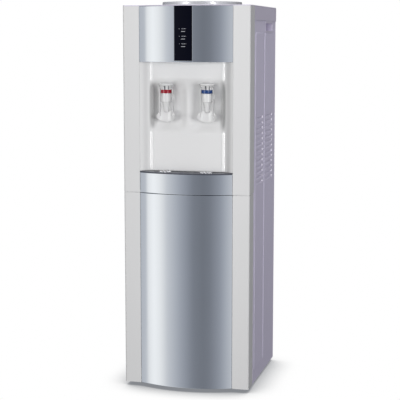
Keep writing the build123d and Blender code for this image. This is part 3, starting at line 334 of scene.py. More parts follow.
@dataclass
class Shell:
    """Closed surface, as whole arrays of points and faces."""

    points: np.ndarray
    faces: list[list[int]]

    @classmethod
    def loft(cls, rings: np.ndarray, closed: bool = False) -> "Shell":
        """Surface through a row of closed rings.

        Ring i and ring i + 1 are joined point by point by quads. An open row gets one flat face at each
        end, and a closed row is joined from its last ring to its first.

        Args:
            rings: Array of rings by points by three.
            closed: True where the row of rings is itself a ring.

        Returns:
            The surface.
        """
        count, around = rings.shape[:2]
        index = np.arange(count * around).reshape(count, around)
        low = index if closed else index[:-1]
        high = np.roll(index, -1, 0) if closed else index[1:]
        quads = np.stack([low, np.roll(low, -1, 1), np.roll(high, -1, 1), high], -1).reshape(-1, 4)
        ends = [] if closed else [index[0][::-1].tolist(), index[-1].tolist()]
        return cls(rings.reshape(-1, 3), quads.tolist() + ends)

    @classmethod
    def joined(cls, shells: list["Shell"]) -> "Shell":
        """Several surfaces as one."""
        starts = np.cumsum([0] + [len(shell.points) for shell in shells]).tolist()
        faces = [[i + start for i in face] for start, shell in zip(starts, shells) for face in shell.faces]
        return cls(np.vstack([shell.points for shell in shells]), faces)


@cache
def node_box(node: str) -> np.ndarray:
    """Lowest and highest corner of a node of the frame, to the micrometre, as two rows of three."""
    return np.round(np.array(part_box(node)), 6)


def turns(count: int) -> np.ndarray:
    """Even turns of a full circle in radians, from zero."""
    return np.linspace(0.0, 2 * math.pi, count, endpoint=False)


def rectangle(x0: float, x1: float, y0: float, y1: float) -> list[tuple[float, float]]:
    """Corners of a rectangle, anticlockwise from the lowest."""
    return [(x0, y0), (x1, y0), (x1, y1), (x0, y1)]


def soft_corners(points: Any, reach: float, steps: int = 5) -> np.ndarray:
    """Closed outline with eased corners.

    A corner c becomes the curve (1 - s)^2 p + 2 s (1 - s) c + s^2 q, where p and q lie on its two sides, at
    the reach or at a fixed share of a shorter side.

    Args:
        points: Corners, in order.
        reach: How far from a corner the easing starts.
        steps: Points along one corner.

    Returns:
        Array of points by two.
    """
    corner = np.asarray(points, float)
    share = np.linspace(0.0, 1.0, steps)[None, :, None]

    def towards(other: np.ndarray) -> np.ndarray:
        """Points on the sides that lead to the other corners."""
        side = other - corner
        length = np.maximum(np.linalg.norm(side, axis=1, keepdims=True), TINY)
        return (corner + side / length * np.minimum(reach, SIDE_SHARE * length))[:, None]

    start, stop = towards(np.roll(corner, 1, 0)), towards(np.roll(corner, -1, 0))
    curve = (1 - share) ** 2 * start + 2 * share * (1 - share) * corner[:, None] + share ** 2 * stop
    return curve.reshape(-1, 2)


def soft_prism(outline: Any, low: float, high: float, edge: float, steps: int = 4) -> Shell:
    """Upright prism over an outline in plan, with eased rims.

    The ring at turn a of a rim lies edge (1 - sin a) inside the outline and edge (1 - cos a) from its end,
    and one more ring close by keeps the upright faces flat.

    Args:
        outline: Points of the outline, anticlockwise from above.
        low: Height of the foot.
        high: Height of the top.
        edge: Radius of the rims.
        steps: Rings in one rim.

    Returns:
        The surface.
    """
    plan = np.asarray(outline, float)
    along = np.roll(plan, -1, 0) - np.roll(plan, 1, 0)
    along /= np.maximum(np.linalg.norm(along, axis=1, keepdims=True), TINY)
    outward = np.stack([along[:, 1], -along[:, 0]], -1)
    turn = np.linspace(0.0, math.pi / 2, steps)
    inset = np.append(edge * (1 - np.sin(turn)), 0.0)
    rise = np.append(edge * (1 - np.cos(turn)), edge * FLAT_RING)
    inset = np.concatenate([inset, inset[::-1]])
    height = np.concatenate([low + rise, high - rise[::-1]])
    flat = plan[None] - inset[:, None, None] * outward[None]
    upright = np.broadcast_to(height[:, None, None], flat.shape[:2] + (1,))
    return Shell.loft(np.concatenate([flat, upright], -1))


class Way(Enum):
    """Direction of the axis that a turned piece has."""

    UP = "along Z"
    BACK = "along Y"


def turned(outline: Any, centre: tuple[float, float, float], way: Way = Way.UP, steps: int = 64) -> Shell:
    """Surface of revolution over a closed outline of radius and height.

    The point at turn a of outline point (r, h) lies r cos a and r sin a from the axis, and h along it.

    Args:
        outline: Points of radius and height.
        centre: Foot of the axis.
        way: Direction of the axis.
        steps: Points around.

    Returns:
        The surface.
    """
    outline = np.asarray(outline, float)
    turn = turns(steps)[:, None]
    across = outline[None, :, 0] * np.cos(turn)
    beside = outline[None, :, 0] * np.sin(turn)
    along = np.broadcast_to(outline[None, :, 1], across.shape)
    parts = [across, beside, along] if way is Way.UP else [across, along, beside]
    return Shell.loft(np.stack(parts, -1) + np.array(centre), closed=True)


def smooth_min(first: np.ndarray, second: np.ndarray, blend: float) -> np.ndarray:
    """Smaller of two arrays with a soft edge between them, half of (a + b - sqrt((a - b)^2 + blend^2))."""
    return 0.5 * (first + second - np.sqrt((first - second) ** 2 + blend ** 2))


def place(name: str, shell: Shell, finish: Finish, body: str, stands_for: tuple[str, ...] = (),
          crease: float = 38.0) -> bpy.types.Object:
    """Puts a surface into the scene as a piece of the cooler.

    Args:
        name: Name of the piece.
        shell: Its surface.
        finish: Its finish.
        body: Body that it moves with.
        stands_for: Nodes of the frame that it is shown for.
        crease: Angle in degrees past which an edge stays sharp.

    Returns:
        The object.
    """
    mesh = bpy.data.meshes.new(name)
    mesh.from_pydata(shell.points.tolist(), [], shell.faces)
    work = bmesh.new()
    work.from_mesh(mesh)
    bmesh.ops.remove_doubles(work, verts=work.verts, dist=MERGE)
    bmesh.ops.recalc_face_normals(work, faces=work.faces)
    work.to_mesh(mesh)
    work.free()
    mesh.shade_smooth()
    mesh.set_sharp_from_angle(angle=math.radians(crease))
    mesh.materials.append(finish.material())
    piece = bpy.data.objects.new(name, mesh)
    bpy.context.scene.collection.objects.link(piece)
    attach(piece, body)
    if stands_for:
        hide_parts(*stands_for)
    LOG.info("%s: %d faces, rides on %s", name, len(mesh.polygons), body)
    return piece


@dataclass
class Bow:
    """Bowed line that the silver fronts follow in plan."""

    half: float
    front: float
    bulge: float

    @classmethod
    def of_frame(cls) -> "Bow":
        """The bow between the frame's two white pillars."""
        fascia, front = node_box("upper_fascia"), node_box("upper_front_shell")[0, 1]
        return cls(fascia[1, 0] + GAP, front, front - fascia[0, 1])

    @property
    def radius(self) -> float:
        """Radius of the bow."""
        return (self.half ** 2 + self.bulge ** 2) / (2 * self.bulge)

    @property
    def crown(self) -> float:
        """Y of the foremost point."""
        return self.front - self.bulge

    def line(self, x0: float, x1: float, offset: float = 0.0, edge: float = 0.0,
             samples: int = 97) -> np.ndarray:
        """Points on the bow, y = centre - sqrt((radius - offset)^2 - x^2), with its ends turned back.

        Args:
            x0: First X.
            x1: Last X.
            offset: How far behind the bow the line lies.
            edge: Radius by which the ends turn back.
            samples: Number of points.

        Returns:
            Array of points by two.
        """
        share = 0.5 - 0.5 * np.cos(np.linspace(0.0, math.pi, samples))
        x = x0 + (x1 - x0) * share
        y = self.crown + self.radius - np.sqrt((self.radius - offset) ** 2 - x ** 2)
        if edge > 0:
            depth = np.clip(1 - np.minimum(x - x0, x1 - x) / edge, 0.0, 1.0)
            y = y + edge * (1 - np.sqrt(1 - depth ** 2))
        return np.stack([x, y], -1)

    def skin(self, span: tuple[float, float], low: float, high: float, edge: float, start: float = 0.0,
             thick: float = WALL) -> Shell:
        """Bowed plate of even thickness with eased edges, whose ends point to the bow's centre.

        Args:
            span: First and last X.
            low: Height of the foot.
            high: Height of the top.
            edge: Radius of the edges.
            start: How far behind the bow its face lies.
            thick: Its thickness.

        Returns:
            The surface.
        """
        outer = self.line(*span, start, edge)
        inner_span = np.array(span) * (self.radius - start - thick) / (self.radius - start)
        inner = self.line(*inner_span, start + thick)[::-1]
        return soft_prism(np.vstack([outer, inner]), low, high, min(edge, RIM_SHARE * thick))


@dataclass
class StorageDoor:
    """Bowed silver front of the storage door."""

    bow: Bow
    side_edge: float = 0.0016
    rim_edge: float = 0.0014

    def build(self) -> None:
        """Makes the door's front, whose flat back lies on the white frame behind it."""
        (left, _, low), (right, back, high) = node_box("door_panel")
        outline = np.vstack([self.bow.line(left, right, 0.0, self.side_edge), [(right, back), (left, back)]])
        front = soft_prism(outline, low, high, self.rim_edge)
        place("door_front", front, SILVER, "door", ("door_panel",))


@dataclass
class DripTray:
    """Silver front of the drip tray and the fittings of its grid."""

    bow: Bow
    tap_x: float
    edge: float = 0.0012
    rosette_y: float = -0.156
    rosette_half: float = 0.0125
    rosette_depth: float = 0.0085
    drops: int = 9
    drop_steps: int = 10
    drop_outline: tuple[tuple[float, float], ...] = (
        (0.0, 0.0), (0.0024, 0.0), (0.0023, 0.001), (0.0016, 0.002), (0.0006, 0.0025), (0.0, 0.0025),
    )

    def build(self) -> bpy.types.Object:
        """Makes the bowed front, and the two rosettes that break the drops' fall, which are given back."""
        (left, _, low), (right, _, high) = node_box("tray_front")
        face = self.bow.skin((left, right), low, high, self.edge)
        place("tray_face", face, SILVER, "tray", ("tray_front",))
        drops = [drop for side in LEFT_AND_RIGHT for drop in self.rosette(side * self.tap_x)]
        return place("grid_rosettes", Shell.joined(drops), DROPS, "grid")

    def rosette(self, x: float) -> list[Shell]:
        """Ring of small raised drops on the grid, each a turned dome, at even turns of an oval.

        Args:
            x: X of the ring's middle.

        Returns:
            The drops.
        """
        top = node_box("drip_grid")[1, 2]
        across = x + self.rosette_half * np.cos(turns(self.drops))
        along = self.rosette_y + self.rosette_depth * np.sin(turns(self.drops))
        return [turned(self.drop_outline, (*spot, top), steps=self.drop_steps) for spot in zip(across, along)]


@dataclass
class UpperFront:
    """Fascia with its dark strip, and the niche behind the taps."""

    bow: Bow
    wing_edge: float = 0.0009
    bar_edge: float = 0.0006
    bar_overlap: float = 0.001
    floor_inset: float = 0.0012
    slit: float = 0.0002
    recess: float = 0.0005
    strip_edge: float = 0.0005
    lamp_pitch: float = 0.018
    lens_dome: float = 0.0004
    lens_rim: float = 0.0001
    lens_edge: float = 0.0004
    lens_steps: int = 24
    marks: tuple[tuple[float, float], ...] = (
        (-0.0100, -0.0088), (-0.0036, -0.0022), (0.0026, 0.0050), (0.0064, 0.0072),
    )
    low_mark: tuple[float, float] = (-0.0048, 0.0046)
    low_mark_drop: float = 0.0066
    mark_half: float = 0.0006
    mark_rise: float = 0.00012
    mark_root: float = 0.0003
    mark_edge: float = 0.0001
    mark_samples: int = 7
    niche_lift: float = 0.001
    niche_depth: float = 0.017
    niche_blend: float = 0.0035
    niche_edge: float = 0.0005
    niche_rows: int = 181
    niche_columns: int = 261
    splay: float = 0.027
    cove: float = 0.35
    scallop_edge: float = 0.098
    scallop_flank: float = 0.020
    scallop_depth: float = 0.021
    scallop_z: float = 0.7145
    scallop_rise: float = 0.066
    scallop_drop: float = 0.072
    web_height: float = 0.010
    web_half: float = 0.016
    edge_highlight_half: float = 0.0036
    edge_highlight_rise: float = 0.0006
    edge_highlight_thick: float = 0.0004
    edge_highlight_columns: int = 19
    steepest: float = 1.1

    def build(self) -> tuple[bpy.types.Object, bpy.types.Object]:
        """Makes the fascia, the strip with its lamps, and the niche, whose wall and lighter edge sheet are
        given back.
        """
        self.build_fascia()
        self.build_strip()
        return self.build_niche()

    @property
    def niche_level(self) -> float:
        """Y of the flat back of the niche."""
        return self.bow.front + self.niche_depth

    def build_fascia(self) -> None:
        """Makes the two silver wings, the bar under the strip and the closed underside."""
        (left, _, low), (right, back, high) = node_box("upper_fascia")
        window = node_box("display_window")
        opening, bar_top = window[1, 0] + self.slit, window[0, 2] - self.slit
        bar = opening + self.bar_overlap
        floor = np.vstack([self.bow.line(left, right, self.floor_inset), [(right, back), (left, back)]])
        plates = [
            self.bow.skin((left, -opening), low, high, self.wing_edge),
            self.bow.skin((opening, right), low, high, self.wing_edge),
            self.bow.skin((-bar, bar), low, bar_top, self.bar_edge),
            soft_prism(floor, low, low + WALL, self.bar_edge),
        ]
        place("fascia", Shell.joined(plates), SILVER, "cabinet", ("upper_fascia",))

    def build_strip(self) -> None:
        """Makes the dark window, plain marks beside each lamp and the lamps' lenses."""
        (left, _, low), (right, _, high) = node_box("display_window")
        window = self.bow.skin((left, right), low, high, self.strip_edge, self.recess, WALL - self.recess)
        place("strip_window", window, STRIP, "cabinet", ("display_window",))
        lamps = node_box("indicator_lights")
        face = self.bow.crown + self.recess
        radius, depth = lamps[1, 0], lamps[1, 1] - face
        outline = [(0.0, depth), (radius, depth), (radius, -self.lens_rim), (0.0, -self.lens_dome)]
        lens = soft_corners(outline, self.lens_edge)
        marks: list[Shell] = []
        lenses: list[Shell] = []
        for row in (1, 0, -1):
            z = lamps[:, 2].mean() + row * self.lamp_pitch
            lenses.append(turned(lens, (0.0, face, z), Way.BACK, self.lens_steps))
            marks += [self.mark(span, z) for span in self.marks]
            marks.append(self.mark(self.low_mark, z - self.low_mark_drop))
        place("strip_marks", Shell.joined(marks), PRINT, "cabinet")
        place("strip_lenses", Shell.joined(lenses), LENS, "cabinet", ("indicator_lights",))

    def mark(self, span: tuple[float, float], z: float) -> Shell:
        """Short printed bar on the strip, a hair proud of it."""
        front = self.bow.line(*span, self.recess - self.mark_rise, samples=self.mark_samples)
        back = self.bow.line(*span, self.recess + self.mark_root, samples=self.mark_samples)[::-1]
        low, high = z - self.mark_half, z + self.mark_half
        return soft_prism(np.vstack([front, back]), low, high, self.mark_edge, 2)

    def niche_surface(self, x: np.ndarray, z: np.ndarray) -> np.ndarray:
        """Y of the niche wall: a flat back between splayed sides, with a soft hollow round each tap.

        A side falls back as s - cove sin(2 pi s) / (2 pi), where s is the share of its width from the
        pillar. The hollows fall back by depth (3 f^2 - 2 f^3), where f is the distance from their outer
        edge over the flank's width, and the web between them stands forward by height exp(-(x / half)^2).
        Both fade out as (1 - t^4)^2, where t is the height from the middle over the length that way.

        Args:
            x: Grid of X.
            z: Grid of Z.

        Returns:
            Grid of Y.
        """
        share = (self.bow.half - GAP - np.abs(x)) / self.splay
        fall = np.where(share < 1, share - self.cove * np.sin(2 * math.pi * share) / (2 * math.pi), share)
        side = self.bow.front + GAP + (self.niche_depth - GAP) * fall
        y = smooth_min(np.full_like(x, self.niche_level), side, self.niche_blend)
        height = z - self.scallop_z
        share = np.clip(np.maximum(height / self.scallop_rise, -height / self.scallop_drop), 0.0, 1.0)
        fade = (1 - share ** 4) ** 2
        flank = np.clip((self.scallop_edge - np.abs(x)) / self.scallop_flank, 0.0, 1.0)
        hollow = self.scallop_depth * flank ** 2 * (3 - 2 * flank)
        web = self.web_height * np.exp(-(x / self.web_half) ** 2)
        return y + (hollow - web) * fade

    def build_niche(self) -> tuple[bpy.types.Object, bpy.types.Object]:
        """Makes the white wall with its hollows and the tray's pocket, and a lighter sheet along its upright
        edges as a painted highlight.
        """
        (left, _, foot), (right, rear, top) = node_box("niche_panel")
        low = node_box("drip_grid")[1, 2] + self.niche_lift
        heights = np.linspace(low, top, self.niche_rows)
        # Thin lighter sheets over the niche's upright corners, a painted highlight.
        strip = np.linspace(-self.edge_highlight_half, self.edge_highlight_half, self.edge_highlight_columns)
        edge_highlights = [
            self.niche_plate(side * (right - self.splay) + strip, heights, -self.edge_highlight_rise, self.edge_highlight_thick)
            for side in LEFT_AND_RIGHT
        ]
        edge_highlight = place("niche_edge_highlight", Shell.joined(edge_highlights), EDGE_HIGHLIGHT, "cabinet")
        ledge = rectangle(left, right, self.niche_level, rear)
        pocket = rectangle(left, right, rear - WALL, rear)
        wall = Shell.joined([
            self.niche_plate(np.linspace(left, right, self.niche_columns), heights, 0.0, WALL),
            soft_prism(ledge, low, low + WALL, self.niche_edge),
            soft_prism(pocket, foot, low + WALL, self.niche_edge),
        ])
        niche = place("niche_wall", wall, NICHE_PAINTED_SHADE, "cabinet", ("niche_panel",))
        # Painted shade on the wall and on the lighter edge sheets where they fall back steeply.
        self.mark_painted_shade(edge_highlight)
        self.mark_painted_shade(niche)
        return niche, edge_highlight

    def mark_painted_shade(self, piece: bpy.types.Object) -> None:
        """Stores the painted shade of each place, the square of |dy / dx| of the niche wall over the
        steepest, up to one.

        Args:
            piece: A piece that follows the wall.
        """
        mesh = piece.data
        points = np.empty(len(mesh.vertices) * 3)
        mesh.vertices.foreach_get("co", points)
        x, _, z = points.reshape(-1, 3).T
        x = np.clip(x, -self.bow.half + 2 * GAP, self.bow.half - 2 * GAP)
        step = GAP / 2
        slope = np.abs(self.niche_surface(x + step, z) - self.niche_surface(x - step, z)) / (2 * step)
        share = np.clip(slope / self.steepest, 0.0, 1.0) ** 2
        mesh.attributes.new(SLOPE_SHADE_ATTRIBUTE, "FLOAT", "POINT").data.foreach_set("value", share)

    def niche_plate(self, across: np.ndarray, heights: np.ndarray, start: float, thick: float) -> Shell:
        """Plate that follows the niche wall.

        Args:
            across: Its X values.
            heights: Its Z values.
            start: How far behind the wall's face it starts.
            thick: Its thickness.

        Returns:
            The surface.
        """
        x, z = np.meshgrid(across, heights)
        y = self.niche_surface(x, z) + start
        front = np.stack([x, y, z], -1)
        back = np.stack([x, y + thick, z], -1)[:, ::-1]
        return Shell.loft(np.concatenate([front, back], 1))


@dataclass
class Tap:
    """Push tap with a coloured ring."""

    name: str
    ring_finish: Finish
    x: float = field(init=False)
    y: float = field(init=False)
    ring_z: float = field(init=False)
    ring_foot: float = 0.0012
    ring_head: float = 0.0009
    ring_edge: float = 0.0002
    core: float = 0.010
    bore: float = 0.0043
    barrel: float = 0.0123
    barrel_height: float = 0.022
    bead: float = 0.0006
    bead_drop: float = 0.003
    nozzle: float = 0.025
    nozzle_tip: float = 0.006
    nozzle_waist: float = 0.0072
    nozzle_waist_rise: float = 0.010
    nozzle_root: float = 0.0095
    body_edge: float = 0.0007
    shank: float = 0.009
    shank_edge: float = 0.0006
    shank_steps: int = 48
    flange: float = 0.014
    flange_thick: float = 0.0027
    flange_set: float = 0.0018
    tail: float = 0.0048
    tail_length: float = 0.016
    hood: float = 0.0188
    skirt: float = 0.0132
    flare: float = 0.0127
    flare_power: float = 1.7
    lip: float = 0.0006
    crown: float = 0.0033
    roof_share: float = 0.72
    cap_rows: int = 27
    cap_steps: int = 288
    slits: int = 9
    slit_cut: float = 0.5
    slit_rows: tuple[int, int] = (2, 21)
    lid_reach: float = 0.002
    lid_thick: float = 0.0007
    lid_steps: int = 32
    # Sizes of the dark sleeve that stands in for the shade inside the cap's slits.
    slit_shade_wall: float = 0.002
    slit_shade_drop: float = 0.001
    slit_shade_edge: float = 0.0004
    pivot_rise: float = 0.0032
    trunnion: float = 0.0018
    trunnion_root: float = 0.0015
    trunnion_steps: int = 20
    arm_inner: float = 0.0148
    arm_thick: float = 0.0016
    arm_width: float = 0.0066
    arm_widening: float = 0.25
    arm_rows: int = 24
    eye_rows: int = 9
    paddle_half: float = 0.0236
    paddle_rise: float = 0.015
    paddle_drop: float = 0.0615
    paddle_dish: float = 0.0125
    paddle_thick: float = 0.0025
    paddle_gap: float = 0.001
    paddle_rim: tuple[float, ...] = (0.94, 0.98, 1.0)
    paddle_rows: int = 14
    paddle_steps: int = 72

    def __post_init__(self) -> None:
        """Reads the middle of the ring from the frame."""
        self.x, self.y, self.ring_z = node_box(self.name + "_tap_ring").mean(0)

    def build(self) -> list[bpy.types.Object]:
        """Makes the body, ring, cap and lever, and gives them back."""
        tap = self.name + "_tap_"
        return [
            place(tap + "barrel", self.body(), WHITE, "cabinet", (tap + "body",)),
            place(tap + "band", self.ring(), self.ring_finish, "cabinet", (tap + "ring",)),
            place(tap + "hood", self.cap(), WHITE, "cabinet", (tap + "cap",)),
            # A dark sleeve that stands in for the shade inside the cap's slits.
            place(tap + "slit_shade", self.slit_shade(), GRID, "cabinet"),
            place(tap + "push", self.lever(), WHITE, self.name + "_lever", (tap + "lever",)),
        ]

    @property
    def barrel_top(self) -> float:
        """Height of the barrel's upper end, which carries the ring."""
        return node_box(self.name + "_tap_ring")[0, 2]

    @property
    def cap_z(self) -> float:
        """Height of the cap's foot."""
        return node_box(self.name + "_tap_cap")[0, 2]

    @property
    def pivot_z(self) -> float:
        """Height of the lever's pivot."""
        return self.cap_z + self.pivot_rise

    def body(self) -> Shell:
        """Barrel with its bead, tapered nozzle and the shank that goes through the niche wall to the hose."""
        top, low = self.barrel_top - GAP, self.barrel_top - self.barrel_height
        tip, head = low - self.nozzle, self.cap_z - GAP
        outline = [
            (self.bore, tip), (self.nozzle_tip, tip), (self.nozzle_waist, tip + self.nozzle_waist_rise),
            (self.nozzle_root, low - 2 * self.bead), (self.barrel, low - self.bead),
            (self.barrel, top - self.bead_drop), (self.barrel - self.bead, top), (self.core, top),
            (self.core, head), (self.bore, head),
        ]
        barrel = turned(soft_corners(outline, self.body_edge), (self.x, self.y, 0.0))
        wall = node_box("tap_nuts")[0, 1] - GAP - WALL
        flange = wall - self.flange_set - self.y
        end = node_box(self.name + "_tap_body")[1, 1] - self.y
        outline = [
            (0.0, 0.0), (self.shank, 0.0), (self.shank, flange - self.flange_thick),
            (self.flange, flange - self.flange_thick), (self.flange, flange), (self.shank, flange),
            (self.shank, end - self.tail_length), (self.tail, end - self.tail_length), (self.tail, end),
            (0.0, end),
        ]
        centre = (self.x, self.y, self.barrel_top - self.barrel_height / 2)
        shank = turned(soft_corners(outline, self.shank_edge), centre, Way.BACK, self.shank_steps)
        return Shell.joined([barrel, shank])

    def ring(self) -> Shell:
        """Coloured ring, whose lips reach over the barrel and the cap."""
        (left, _, low), (right, _, high) = node_box(self.name + "_tap_ring")
        foot, head = low - self.ring_foot, high + self.ring_head
        inner, outer = self.core + GAP, (right - left) / 2
        under, over = self.barrel + GAP, self.skirt + 2 * GAP
        outline = [
            (under, foot), (outer, foot), (outer, head), (over, head), (over, high), (inner, high),
            (inner, low), (under, low),
        ]
        return turned(soft_corners(outline, self.ring_edge), (self.x, self.y, 0.0))

    def slit_shade(self) -> Shell:
        """Dark sleeve behind the slits of the cap, a dark piece that stands in for the shade inside them."""
        low, high = self.cap_z + self.slit_shade_edge, self.cap_z + self.flare - self.slit_shade_drop
        inner = self.core - 2 * GAP
        outline = rectangle(inner, inner + self.slit_shade_wall, low, high)
        return turned(soft_corners(outline, self.slit_shade_edge), (self.x, self.y, 0.0))

    def cap(self) -> Shell:
        """Flared hood over the ring.

        Its radius at share s of the height is skirt + (hood - skirt) s^power, cut down to the core where a
        slit's own windows are one: a cosine of the turn above its threshold, and a band of the height.

        Returns:
            The surface with its lid and its two trunnions.
        """
        rim = self.cap_z + self.flare
        top, hole = rim + self.crown, self.bore + 2 * self.lip
        share = np.linspace(0.0, 1.0, self.cap_rows)
        radius = self.skirt + (self.hood - self.skirt) * share ** self.flare_power
        wall = np.stack([radius, self.cap_z + self.flare * share], -1)
        roof = [
            (self.hood + self.lip / 3, rim + 2 * self.lip), (self.hood - self.lip, rim + 4 * self.lip),
            (self.hood * self.roof_share, top - self.lip / 6), (hole, top), (hole, self.cap_z),
        ]
        outline = np.vstack([wall, roof])
        turn = turns(self.cap_steps)[:, None]
        window = np.cos((turn + math.pi / 2) * self.slits) > self.slit_cut
        band = np.zeros(len(outline), bool)
        band[slice(*self.slit_rows)] = True
        radius = np.where(window & band[None], self.core - self.lip / 3, outline[None, :, 0])
        height = np.broadcast_to(outline[None, :, 1], radius.shape)
        rings = np.stack([self.x + radius * np.cos(turn), self.y + radius * np.sin(turn), height], -1)
        lid = rectangle(0.0, self.bore + self.lid_reach, top - self.lid_thick, top)
        parts = [Shell.loft(rings, closed=True), turned(lid, (self.x, self.y, 0.0), steps=self.lid_steps)]
        return Shell.joined(parts + [self.trunnion_pin(side) for side in LEFT_AND_RIGHT])

    def trunnion_pin(self, side: float) -> Shell:
        """Pin that the lever turns on, at the left for minus one and at the right for one."""
        span = self.x + side * np.array([self.skirt - self.trunnion_root, self.arm_inner + self.arm_thick])
        turn = turns(self.trunnion_steps)[None]
        x = np.broadcast_to(span[:, None], (2, self.trunnion_steps))
        y = self.y + self.trunnion * np.cos(turn) + np.zeros_like(x)
        z = self.pivot_z + self.trunnion * np.sin(turn) + np.zeros_like(x)
        return Shell.loft(np.stack([x, y, z], -1))

    def lever(self) -> Shell:
        """Two arms and the dished oval paddle.

        The paddle's point at turn a and share s of the oval is (w s cos a, axis + sqrt(r^2 - x^2), h s sin
        a), so it wraps round the nozzle, and its back lies the thickness behind, thinning to nothing at the
        rim.

        Returns:
            The surface.
        """
        paddle_z = self.ring_z - self.paddle_drop
        radius = (self.paddle_half ** 2 + self.paddle_dish ** 2) / (2 * self.paddle_dish)
        back = self.y + self.nozzle_tip + self.paddle_gap + self.paddle_thick
        flat = np.linspace(0.0, self.paddle_rim[0], self.paddle_rows)
        share = np.concatenate([flat, self.paddle_rim[1:]])[:, None]
        turn = turns(self.paddle_steps)[None]
        x = self.paddle_half * share * np.cos(turn)
        z = paddle_z + self.paddle_rise * share * np.sin(turn)
        thin = np.sqrt(np.clip(1 - share ** 8, 0.0, None)) * self.paddle_thick / 2
        mid = back - radius + np.sqrt((radius - self.paddle_thick / 2) ** 2 - x ** 2)
        front = np.stack([self.x + x, mid - thin, z], -1)
        rear = np.stack([self.x + x, mid + thin, z], -1)
        paddle = Shell.loft(np.concatenate([front, rear[-2::-1]]))
        return Shell.joined([paddle] + [self.arm(side, paddle_z) for side in LEFT_AND_RIGHT])

    def arm(self, side: float, paddle_z: float) -> Shell:
        """Arm at one side, from its round eye down to the paddle.

        A ring at height z is an eased rectangle as thick as the arm, whose depth follows the circle of the
        eye above the pivot and widens towards the paddle below it.

        Args:
            side: Minus one for the left arm, one for the right.
            paddle_z: Height of the paddle's middle.

        Returns:
            The surface.
        """
        half = self.arm_width / 2
        eye = np.linspace(0.0, math.pi / 2, self.eye_rows)[1:-1]
        height = np.linspace(paddle_z, self.pivot_z, self.arm_rows)
        height = np.concatenate([height, self.pivot_z + half * np.sin(eye)])
        depth = np.concatenate([np.full(self.arm_rows, half), half * np.cos(eye)])
        down = np.clip((self.pivot_z - height) / (self.pivot_z - paddle_z), 0.0, 1.0)
        depth = depth * (1.0 + self.arm_widening * down ** 2)
        square = soft_corners(rectangle(-1, 1, -1, 1), 0.5, 4)
        middle = self.x + side * (self.arm_inner + self.arm_thick / 2)
        x = middle + np.broadcast_to(square[None, :, 0] * self.arm_thick / 2, (len(height), len(square)))
        y = self.y + square[None, :, 1] * depth[:, None]
        z = np.broadcast_to(height[:, None], x.shape)
        return Shell.loft(np.stack([x, y, z], -1))


@dataclass
class BottleSeat:
    """Collar and funnel that take the bottle."""

    radius: float = 0.1015
    inner: float = 0.092
    flange_rise: float = 0.0008
    fillet: float = 0.002
    fillet_foot: float = 0.0016
    fillet_head: float = 0.0034
    collar_plate: float = 0.0018
    collar_edge: float = 0.0012
    collar_corner_steps: int = 6
    collar_steps: int = 160
    funnel_lip: float = 0.0015
    funnel_edge: float = 0.0016
    funnel_steps: int = 128
    cone_draft: float = 0.002
    cone_drop: float = 0.026
    throat: float = 0.060
    throat_drop: float = 0.051
    throat_slope: float = 0.001
    neck: float = 0.036
    neck_drop: float = 0.058
    mouth: float = 0.030

    @property
    def y(self) -> float:
        """Y of the seat's middle."""
        return node_box("bottle_seat")[:, 1].mean()

    def build(self) -> bpy.types.Object:
        """Makes the white funnel with its neck and the bright collar, which is given back."""
        (_, _, bottom), (rim, _, _) = node_box("bottle_seat")
        (_, _, cover), (foot, _, top) = node_box("bottle_collar")
        plate, lip = cover + self.collar_plate, cover + self.funnel_lip
        collar = [
            (rim + GAP, cover), (foot, cover), (foot, cover + self.flange_rise),
            (self.radius + self.fillet, cover + self.fillet_foot), (self.radius, cover + self.fillet_head),
            (self.radius - self.flange_rise, top), (self.inner, top), (self.inner, plate), (rim + GAP, plate),
        ]
        cone, low, neck = cover - self.cone_drop, cover - self.throat_drop, cover - self.neck_drop
        draft, bore = self.inner - self.cone_draft, self.neck - WALL
        seat = [
            (rim, cover), (self.inner - GAP, cover), (draft, cone), (self.throat, low), (self.neck, neck),
            (self.neck, bottom), (self.mouth, bottom), (self.mouth, bottom + WALL), (bore, bottom + WALL),
            (bore, neck + WALL), (self.throat - self.throat_slope, low + WALL),
            (draft - WALL, cone + WALL / 2), (self.inner - GAP - WALL, lip), (rim, lip),
        ]
        centre = (0.0, self.y, 0.0)
        funnel = turned(soft_corners(seat, self.funnel_edge), centre, steps=self.funnel_steps)
        place("seat_funnel", funnel, WHITE, "seat", ("bottle_seat",))
        collar = soft_corners(collar, self.collar_edge, self.collar_corner_steps)
        ring = turned(collar, centre, steps=self.collar_steps)
        return place("collar_ring", ring, COLLAR, "seat", ("bottle_collar",))


